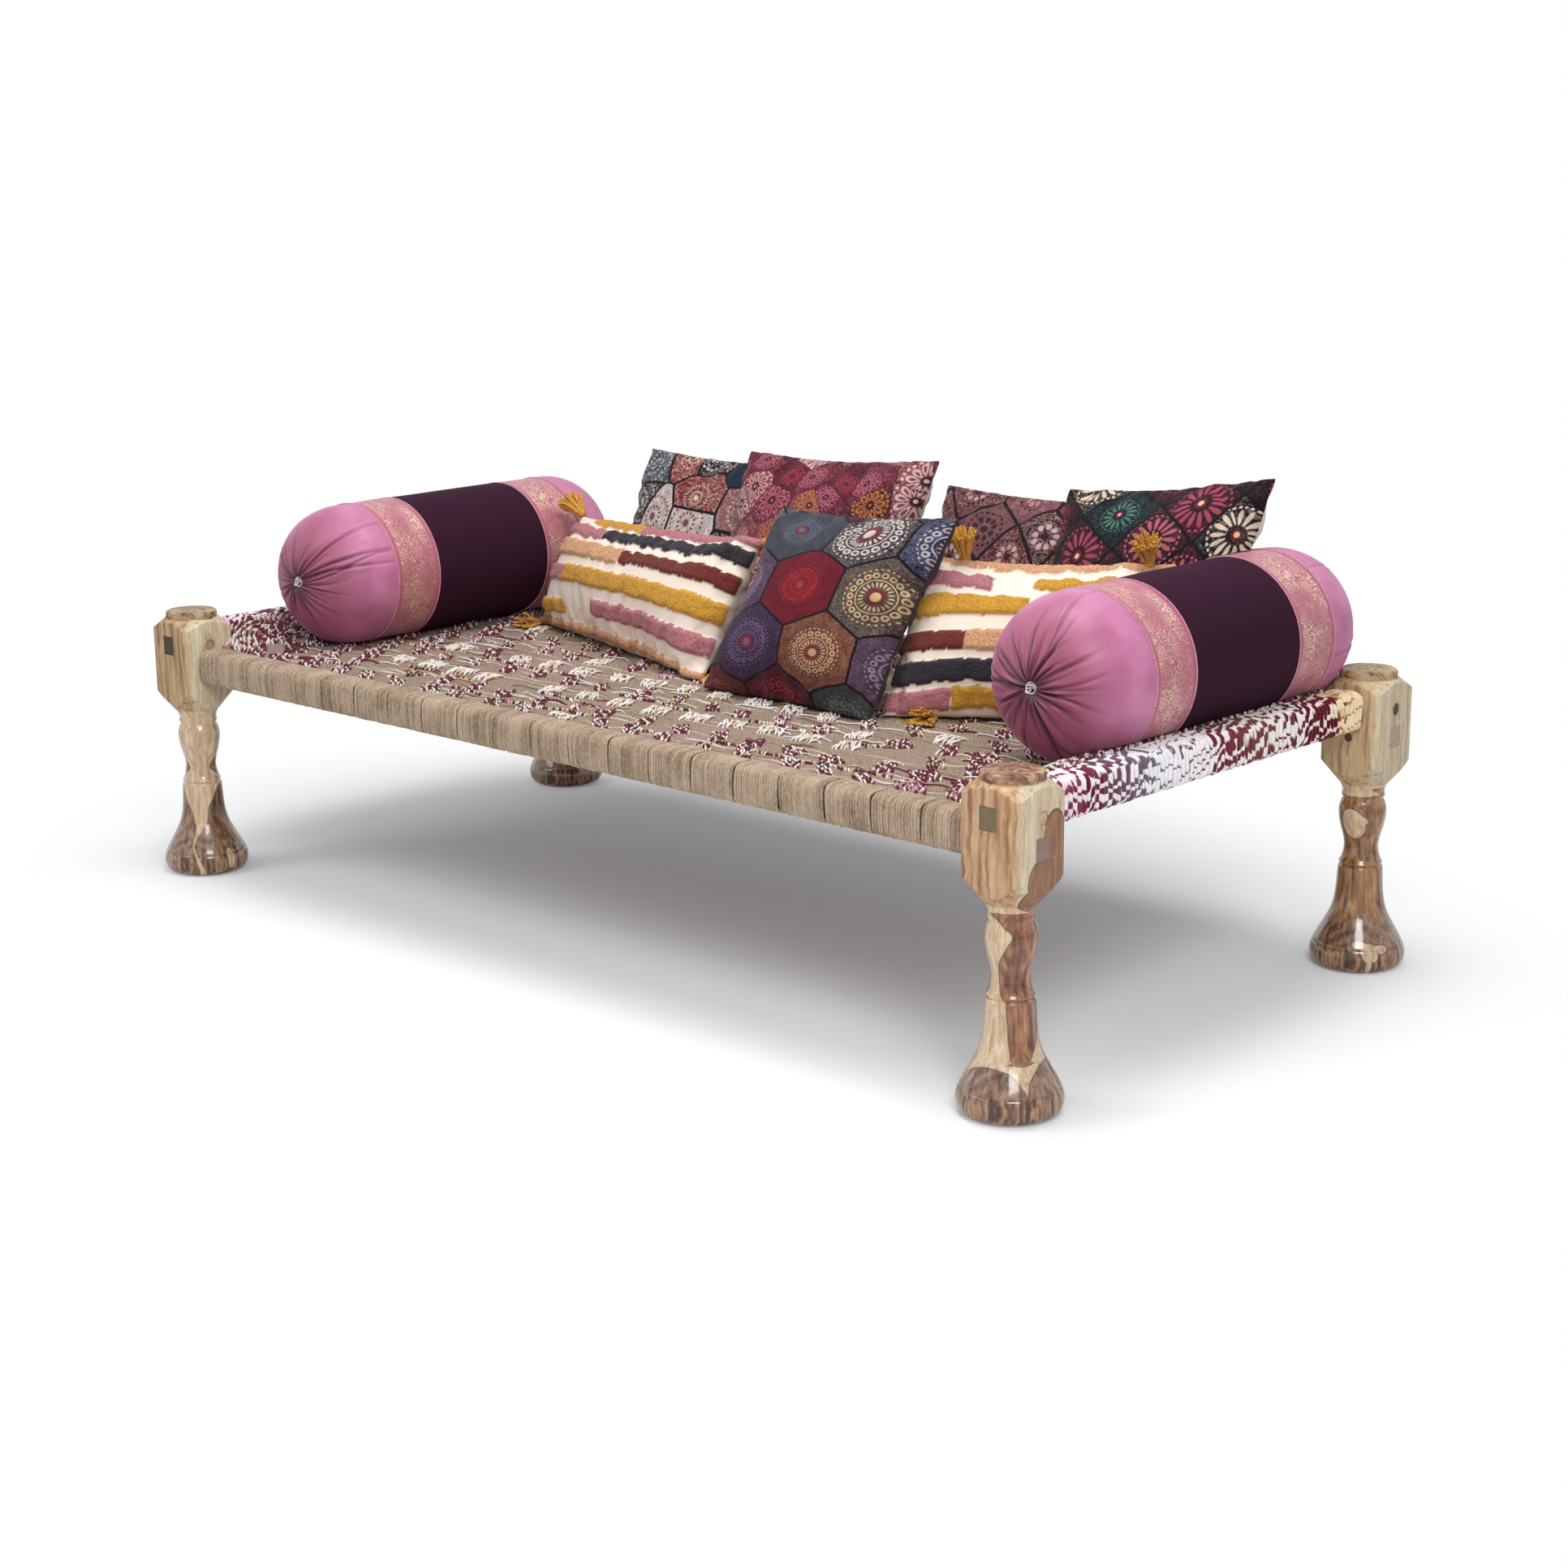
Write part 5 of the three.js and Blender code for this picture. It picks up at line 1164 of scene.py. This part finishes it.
# Yarn tufting on the striped cushions: lowest and highest edge, then from and to across, as shares
yarnColours = {"mustard": "#cf9a3d", "pink": "#b87880", "charcoal": "#37343a", "maroon": "#74352f",
               "peach": "#d6a27c", "cotton": "#efe0d2"}
tufting = {
    "striped_left": [(0.945, 1.0, 0.14, 0.42, "mustard"), (0.945, 1.0, 0.42, 1.0, "pink"),
                     (0.80, 0.915, 0.0, 0.30, "pink"), (0.805, 0.92, 0.30, 1.0, "charcoal"),
                     (0.60, 0.755, 0.0, 0.5, "peach"), (0.615, 0.735, 0.5, 1.0, "maroon"),
                     (0.39, 0.525, 0.0, 0.19, "pink"), (0.39, 0.535, 0.19, 1.0, "mustard"),
                     (0.12, 0.245, 0.0, 0.22, "mustard"), (0.17, 0.305, 0.42, 1.0, "pink"),
                     (0.015, 0.07, 0.0, 1.0, "peach")],
    "striped_right": [(0.955, 1.0, 0.0, 1.0, "peach"), (0.77, 0.89, 0.0, 0.34, "pink"),
                      (0.78, 0.885, 0.50, 0.80, "mustard"), (0.585, 0.725, 0.0, 0.50, "mustard"),
                      (0.60, 0.72, 0.60, 1.0, "pink"), (0.38, 0.495, 0.0, 0.29, "maroon"),
                      (0.375, 0.50, 0.29, 0.9, "peach"), (0.185, 0.325, 0.0, 1.0, "charcoal"),
                      (0.03, 0.155, 0.0, 0.26, "pink"), (0.03, 0.155, 0.26, 0.9, "mustard")],
}
yarn = {"wander": (2.6 * mm, 1.2 * mm), "edge": 7 * mm, "height": 5.6 * mm,
        "unevenness": (0.9 * mm, 1.3 * mm)}


def tuftedCotton():
    # hand-tufted wool yarn on plain cotton: the yarn is thick and matte, the ground a fine flat weave
    material, node = newFinish("tuftedYarnOnCotton")
    tint, raised = (node("Attribute", attribute_name="yarn", give=part) for part in ("Color", "Alpha"))
    place = node("TexCoord", give="Object")
    knots = node("TexVoronoi", place, named={"Scale": 300}, give="Distance")
    weave = node("TexNoise", place, named={"Scale": 900, "Detail": 1})
    # painted light and shade: the yarn is lighter on the crown of each loop and darker between the loops,
    # following its relief
    tone = node("Mix FLOAT", raised, node("MapRange", weave, 0.3, 0.7, 0.95, 1.03),
                node("MapRange", knots, 0.1, 0.8, 1.12, 0.72))
    height = node("Mix FLOAT", raised, node("Math MULTIPLY", weave, 0.12), node("Math SUBTRACT", 1.0, knots))
    closeFinish(node, colour=shaded(node, tint, tone), roughness=0.92, sheen=0.1, sheenRoughness=0.5,
                specular=0.1, relief=(height, 0.7, 1.6 * mm))
    return material


def plainBacking(name, shade):
    # the plain cotton that backs the cushions
    material, node = newFinish(name)
    uv = node("UVMap", uv_map="cloth")
    threads = [node("TexWave", uv, named={"Scale": 380, "Distortion": 2}, wave_type="BANDS",
                    bands_direction=way)
               for way in "XY"]
    both = node("Math MULTIPLY", *threads)
    colour = shaded(node, shade, node("MapRange", both, 0, 1, 0.92, 1.03))
    closeFinish(node, colour=colour, roughness=0.9, relief=(both, 0.25, 0.3 * mm), **dullFibre)
    return material


def hexagonTiles(node, place, look):
    # hexagons in rows: the way from the nearest middle, how far off the edge is, and a number for each tile
    cell, tall = look["cell"], look["cell"] * math.sqrt(3)
    ways, middles = [], []
    for nudge in ((0, 0, 0), (cell / 2, tall / 2, 0)):
        shifted = node("VectorMath SUBTRACT", place, nudge)
        counted = node("VectorMath ADD", node("VectorMath DIVIDE", shifted, (cell, tall, 1)), (0.5, 0.5, 0))
        middle = node("VectorMath MULTIPLY", node("VectorMath FLOOR", counted), (cell, tall, 1))
        ways.append(node("VectorMath SUBTRACT", shifted, middle))
        middles.append(node("VectorMath ADD", middle, nudge))
    first, second = (node("VectorMath LENGTH", way, give="Value") for way in ways)
    nearer = node("Math LESS_THAN", second, first)
    way, middle = (node("Mix VECTOR", nearer, *pair) for pair in (ways, middles))
    sides = node("SeparateXYZ", node("VectorMath ABSOLUTE", way)).node.outputs
    slanted = weighed(node, (sides["X"], 0.5), (sides["Y"], math.sqrt(3) / 2))
    edge = node("Math SUBTRACT", cell / 2, node("Math MAXIMUM", sides["X"], slanted))
    places = node("SeparateXYZ", middle).node.outputs
    tile = weighed(node, (places["X"], 2 / cell), (places["Y"], 5 * 2 / tall))
    return way, edge, node("Math MULTIPLY", node("Math ADD", tile, look["tiles"] / 2), 1 / look["tiles"])


def scatteredTiles(node, place, look):
    # tiles about scattered points, with the same three outputs
    named = {"Vector": place, "Scale": 1 / look["cell"], "Randomness": look["scatter"]}
    cells = node("TexVoronoi", named=named, voronoi_dimensions="2D").node.outputs
    walls = node("TexVoronoi", named=named, voronoi_dimensions="2D", feature="DISTANCE_TO_EDGE",
                 give="Distance")
    return (node("VectorMath SUBTRACT", place, cells["Position"]), node("Math MULTIPLY", walls, look["cell"]),
            node("SeparateColor", cells["Color"], give="Red"))


def printedCotton(name, look):
    # cotton with a dyed print of tiles or blossoms, each with rings and petals about its own middle
    material, node = newFinish("printedCotton_" + name)
    uv = node("UVMap", uv_map="cloth")
    moved = node("VectorMath SUBTRACT", uv, (*look["origin"], 0))
    moved = node("VectorRotate", moved, named={"Angle": math.radians(look["angle"])}, rotation_type="Z_AXIS")
    moved = node("VectorMath MULTIPLY", moved, (1, 1 / look["squeeze"], 1))
    way, edge, tile = (hexagonTiles if "tiles" in look else scatteredTiles)(node, moved, look)
    bit = node("SeparateXYZ", way).node.outputs
    around = node("Math MULTIPLY", node("Math ARCTAN2", bit["Y"], bit["X"]), 1 / math.tau)
    scale, ground, accent = (node("ValToRGB", tile, stops=look[key], blend="CONSTANT")
                             for key in ("scales", "ground", "accent"))
    scale = node("Math MULTIPLY", node("SeparateColor", scale, give="Red"), 2)
    reach = node("Math DIVIDE", node("VectorMath LENGTH", way, give="Value"), scale)
    # lacy mottling, marks about 4 mm across
    lace = node("TexNoise", moved, named={"Scale": look["lace"], "Detail": 2, "Distortion": 1.5})
    lace = node("Math ABSOLUTE", node("Math SUBTRACT", lace, 0.5))
    colour = node("Mix RGBA", node("MapRange", lace, 0.05, 0.0, 0, look["laceShare"]), ground, accent)
    for radius, half, number, fullness, hollow, tint in look["rings"]:
        # number beads on a ring of that radius; with no number it is a plain ring
        out = node("Math DIVIDE", node("Math SUBTRACT", reach, radius), half)
        if number:
            turned = node("Math SUBTRACT", node("Math FRACT", node("Math MULTIPLY", around, number)), 0.5)
            turned = node("Math MULTIPLY", turned, 2 / fullness)
            out = node("VectorMath LENGTH", node("CombineXYZ", turned, out, 0), give="Value")
        out = node("Math ABSOLUTE", out)
        bead = node("MapRange", out, 1.12, 0.88, 0, 0.92)
        if hollow:
            bead = node("Math MULTIPLY", bead, node("MapRange", out, 0.42, 0.58, 0, 1))
        colour = node("Mix RGBA", bead, colour, {"accent": accent, "ground": ground}.get(tint, tint))
    # ink is uneven, in soft blotches about 15 mm across
    blotch = node("MapRange", node("TexNoise", moved, named={"Scale": 60, "Detail": 3}), 0.3, 0.7, 0.66, 1.02)
    line = node("MapRange", edge, look["line"], look["line"] + 1.0 * mm, 1, 0)
    colour = node("Mix RGBA", line, shaded(node, colour, blotch), look["lineColour"])
    threads = node("TexNoise", uv, named={"Scale": 800, "Detail": 1})
    colour = shaded(node, colour, node("MapRange", threads, 0.3, 0.7, 0.88, 1.1))
    closeFinish(node, colour=colour, roughness=0.8, sheen=0.05, sheenRoughness=0.5, specular=0.15,
                relief=(threads, 0.3, 0.3 * mm))
    return material


# The prints' tiles or blossoms. scales, ground and accent change from tile to tile; a ring is its radius, its
# half thickness, its number of beads, how full they are, whether they are hollow, and its colour
prints = {
    "hexagon": {"tiles": 25, "angle": 0, "cell": 0.138, "squeeze": 0.81, "origin": (0.175, 0.176),
                "line": 1.6 * mm, "lineColour": "#0c090e", "lace": 170, "laceShare": 0.42,
                "scales": [(0, 0.5), (0.22, 0.46), (0.30, 0.44), (0.38, 0.45), (0.46, 0.36), (0.54, 0.50),
                           (0.62, 0.36), (0.70, 0.58), (0.78, 0.5)],
                "ground": [(0.0, "#5b2329"), (0.06, "#46182a"), (0.14, "#3b3a3c"), (0.22, "#36233f"),
                           (0.30, "#6b3a2f"), (0.38, "#4a3347"), (0.46, "#5c1326"), (0.54, "#43393f"),
                           (0.62, "#3a3a45"), (0.70, "#271b22"), (0.78, "#262b4b"), (0.86, "#40182e"),
                           (0.94, "#251d29")],
                "accent": [(0.0, "#8c4448"), (0.06, "#9c3440"), (0.14, "#6c6f70"), (0.22, "#7a6389"),
                           (0.30, "#d7b08a"), (0.38, "#9d8aa3"), (0.46, "#b92f2e"), (0.54, "#dcbd8f"),
                           (0.62, "#5f6b74"), (0.70, "#dccfca"), (0.78, "#cfc8d0"), (0.86, "#93424f"),
                           (0.94, "#85737f")],
                "rings": [(0.0405, 0.0052, 18, 0.84, True, "accent"),
                          (0.0230, 0.0048, 22, 0.5, False, "accent"), (0, 0.015, 0, 1, False, "#7d2a33"),
                          (0, 0.0085, 0, 1, False, "accent"), (0.0315, 0.0009, 0, 1, False, "accent"),
                          (0.0510, 0.0014, 34, 0.5, False, "accent")]},
    "floral": {"angle": 0, "origin": (0, 0), "squeeze": 1, "cell": 0.060, "scatter": 0.8, "line": 0.3 * mm,
               "lineColour": "#3c1722", "lace": 130, "laceShare": 0.7,
               "scales": [(0, 0.42), (0.2, 0.60), (0.4, 0.36), (0.6, 0.52), (0.8, 0.68)],
               "ground": [(0.0, "#561a2b"), (0.3, "#6c2a3b"), (0.5, "#3a1422"), (0.7, "#7a3c49"),
                          (0.85, "#7c2c32")],
               "accent": [(0.0, "#b86578"), (0.25, "#cf9d96"), (0.45, "#a83a50"), (0.6, "#bd7444"),
                          (0.8, "#d2b2b2")],
               "rings": [(0.0160, 0.0090, 11, 0.85, False, "accent"),
                         (0.0160, 0.0050, 11, 0.4, False, "ground"), (0, 0.006, 0, 1, False, "#22101a"),
                         (0, 0.0025, 0, 1, False, "accent"), (0.0290, 0.0022, 24, 0.6, False, "accent")]},
    "daisy": {"squeeze": 1, "cell": 0.092, "scatter": 0.18, "line": 1.9 * mm, "lineColour": "#07060a",
              "lace": 90, "laceShare": 0.3, "angle": 38, "origin": (0.03, 0.02),
              "scales": [(0, 0.42), (0.25, 0.52), (0.5, 0.38), (0.75, 0.56)],
              "ground": [(0.0, "#120d17"), (0.4, "#1a0e17"), (0.65, "#10131f"), (0.8, "#220f1d")],
              "accent": [(0.0, "#9a3039"), (0.22, "#e2cfba"), (0.4, "#b95f70"), (0.55, "#4f7c6e"),
                         (0.7, "#dfb78b"), (0.85, "#a8475b")],
              "rings": [(0.0240, 0.0130, 15, 0.58, False, "accent"),
                        (0.0120, 0.0030, 15, 0.7, False, "#120d13"), (0, 0.008, 0, 1, False, "#7c222a"),
                        (0, 0.004, 0, 1, False, "#e8d4b4"), (0.0410, 0.0018, 30, 0.6, False, "accent")]},
    "patchwork": {"origin": (0, 0), "squeeze": 1, "cell": 0.088, "scatter": 1.0, "line": 2.2 * mm,
                  "lineColour": "#120b10", "lace": 95, "laceShare": 0.8, "angle": 15,
                  "scales": [(0, 0.5), (0.5, 0.7)],
                  "ground": [(0.0, "#4c1824"), (0.2, "#161b2e"), (0.38, "#742428"), (0.5, "#d0c8c6"),
                             (0.6, "#39424f"), (0.72, "#8c534c"), (0.86, "#1d1219")],
                  "accent": [(0.0, "#b98a83"), (0.2, "#2a3350"), (0.38, "#d9c2b4"), (0.5, "#7a3038"),
                             (0.6, "#bdbab9"), (0.8, "#d3c9c4")],
                  "rings": [(0.0130, 0.0022, 14, 0.6, False, "accent"),
                            (0.0260, 0.0016, 26, 0.6, False, "accent"), (0, 0.005, 0, 1, False, "accent")]},
    "diamond": {"origin": (0, 0), "squeeze": 1, "cell": 0.084, "scatter": 0.25, "line": 2.4 * mm,
                "lineColour": "#150c12", "lace": 105, "laceShare": 0.75, "angle": 45,
                "scales": [(0, 0.5), (0.5, 0.6)],
                "ground": [(0.0, "#6a3f48"), (0.3, "#562b34"), (0.6, "#7a5054"), (0.8, "#44232b")],
                "accent": [(0.0, "#b98583"), (0.3, "#c79d93"), (0.55, "#2c1721"), (0.75, "#cbaaa5")],
                "rings": [(0.0160, 0.0050, 9, 0.7, False, "accent"),
                          (0.0280, 0.0020, 20, 0.6, False, "#1d1018"), (0, 0.006, 0, 1, False, "#24141c")]},
}


def raiseYarn(mesh, cushion, stripes):
    # pushes the yarn out along the cloth's normals and colours it; places on the cloth come from its uv map
    count, wide, tall = len(mesh.vertices), cushion["width"], cushion["tall"]
    places, front = np.zeros((count, 2)), np.zeros(count, bool)
    layer = mesh.uv_layers["cloth"].data
    for polygon in mesh.polygons:
        for loop in polygon.loop_indices:
            vertex = mesh.loops[loop].vertex_index
            places[vertex] = layer[loop].uv
            front[vertex] |= polygon.material_index == 0
    x, y = places.T
    points = pointsOf(mesh)
    normals = np.array([vert.normal for vert in mesh.vertices])
    colours = np.tile(linear(yarnColours["cotton"]), (count, 1))
    colours[:, 3] = 0
    rough = np.array([(noise.noise(Vector(point) * 75), noise.noise(Vector(point) * 240 + Vector((9, 0, 0))))
                      for point in points])
    for low, high, start, end, colour in stripes:
        inside = y - low * tall
        for ends, distance in ((high < 1, high * tall - y), (start > 0, x - start * wide),
                               (end < 1, end * wide - x)):
            inside = np.minimum(inside, distance) if ends else inside
        rise = smoothShare((inside + rough @ yarn["wander"]) / yarn["edge"] + 0.2) * (front | (high >= 1))
        points += normals * (rise * (yarn["height"] + rough @ yarn["unevenness"]))[:, None]
        colours[rise > 0.12] = linear(yarnColours[colour])
    setPoints(mesh, points)
    mesh.attributes.new("yarn", "FLOAT_COLOR", "POINT").data.foreach_set("color", colours.ravel())


tuftFinish = tuftedCotton()
paleBack, plumBack = plainBacking("paleCottonBack", "#dfd9da"), plainBacking("plumCottonBack", "#3b2a35")
for name, cushion in cushions.items():
    cover = covers[name]
    mesh = cover.data
    mesh.polygons.foreach_set("use_smooth", [True] * len(mesh.polygons))
    if name in tufting:
        raiseYarn(mesh, cushion, tufting[name])
        finishes, slot, cushion["body"] = [tuftFinish] * 2, "tufted_cotton", name.replace("_", "_cushion_")
    else:
        finishes = printedCotton(name, prints[name]), plumBack if name == "hexagon" else paleBack
        slot, cushion["body"] = "printed_cotton", name + "_cushion"
    for finish in finishes:
        mesh.materials.append(finish)
    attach(cover, cushion["body"])
    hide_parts("cushion_" + name)
    cover.name = "cushionCover_" + name
print("cushions are covered")


# Tassels: a bound head and a skirt of yarn strands. Each is at shares across and up its cushion, and points a
# way
tassels = {
    "striped_left_lower_left": (0, 0, (0.2, -0.96, 0.2)),
    "striped_left_upper_left": (0, 1, (-0.85, 0.2, 0.5)),
    "striped_left_lower_right": (1, 0, (0.3, 0.93, 0.25)),
    "striped_left_upper_right": (1, 1, (0.25, 0.9, -0.35)),
    "striped_right_lower_left": (0.2, 0, (0.3, -0.94, 0.2)),
    "striped_right_upper_left": (0.2, 1, (0.1, -0.3, 0.95)),
    "striped_right_lower_right": (0.78, 0, (-0.25, 0.95, 0.3)),
    "striped_right_upper_right": (0.9, 1, (0.2, -0.5, 0.85)),
}
tasselLook = {"length": 0.056, "strands": 42, "spread": 0.0185, "strand": 2.5 * mm,
              "taper": (0.7, 1, 1, 1, 1, 0.95, 0.6), "turns": 5.3, "neck": 9 * mm, "curl": 4 * mm,
              "droop": 5 * mm, "clear": 0.6 * mm, "head": 9.5 * mm, "headPlace": 8 * mm,
              "headShape": (0.85, 0.85, 1.05, 1), "binding": 6 * mm, "bindings": (11.5, 13, 14.5)}
mustardYarn = cottonStrand("mustardYarn", "#a8742c", "#dba548", **{**threadLook, "scale": 420})
creamYarn = cottonStrand("creamCord", "#cdb395", "#ecd9c0", **{**threadLook, "scale": 420})
for name, (across, rise, way) in tassels.items():
    cushion = cushions[name.rsplit("_", 2)[0]]
    direction = Vector(way).normalized()
    turn = direction.to_track_quat("Z", "Y")
    corner = cushionMiddle(cushion, np.array([across]), np.array([rise]))[0]
    start = Vector(corner) + direction * 0.5 * mm
    pick = random.Random(name)
    lines = []
    for strand in range(tasselLook["strands"]):
        angle = math.tau * strand / tasselLook["strands"] * tasselLook["turns"]
        fan = math.sqrt(pick.uniform(0.05, 1)) * tasselLook["spread"]
        curl = Vector((pick.uniform(-1, 1), pick.uniform(-1, 1), 0)) * tasselLook["curl"]
        line = []
        for step in range(7):
            part = step / 6
            out = (0.3 + 0.7 * part ** 0.8) * fan + (0.35 - part) ** 2 * 0.01
            skirt = (tasselLook["length"] - tasselLook["neck"]) * pick.uniform(0.97, 1.0)
            spread = Vector((math.cos(angle) * out, math.sin(angle) * out, tasselLook["neck"] + part * skirt))
            at = start + turn @ (spread + curl * part ** 2)
            at.z -= tasselLook["droop"] * part ** 2
            at.z = max(at.z, float(deckTop(at.x, at.y)) + tasselLook["strand"] + tasselLook["clear"])
            line.append(at)
        lines.append((line, [tasselLook["strand"] * size for size in tasselLook["taper"]], 0))
    angles = [math.tau * part / 14 for part in range(15)]
    coil = [turn @ Vector((math.cos(angle), math.sin(angle), 0)) * tasselLook["binding"] for angle in angles]
    for place in tasselLook["bindings"]:
        lines.append(([start + direction * place * mm + at for at in coil], [1.0 * mm], 1))
    work = bmesh.new()
    head = Matrix.Translation(start + direction * tasselLook["headPlace"]) @ turn.to_matrix().to_4x4()
    bmesh.ops.create_uvsphere(work, u_segments=18, v_segments=12, radius=tasselLook["head"],
                              matrix=head @ Matrix.Diagonal(tasselLook["headShape"]))
    keptAbove(work, tasselLook["clear"])
    yarnMesh = ropeMesh(lines, [mustardYarn, creamYarn])
    work.from_mesh(yarnMesh)
    bpy.data.meshes.remove(yarnMesh)
    tassel = newPiece(work, "yarnTassel_" + name, cushion["body"], "mustard_yarn", mustardYarn, creamYarn)
    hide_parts("tassel_" + name)
print("tassels are tied")
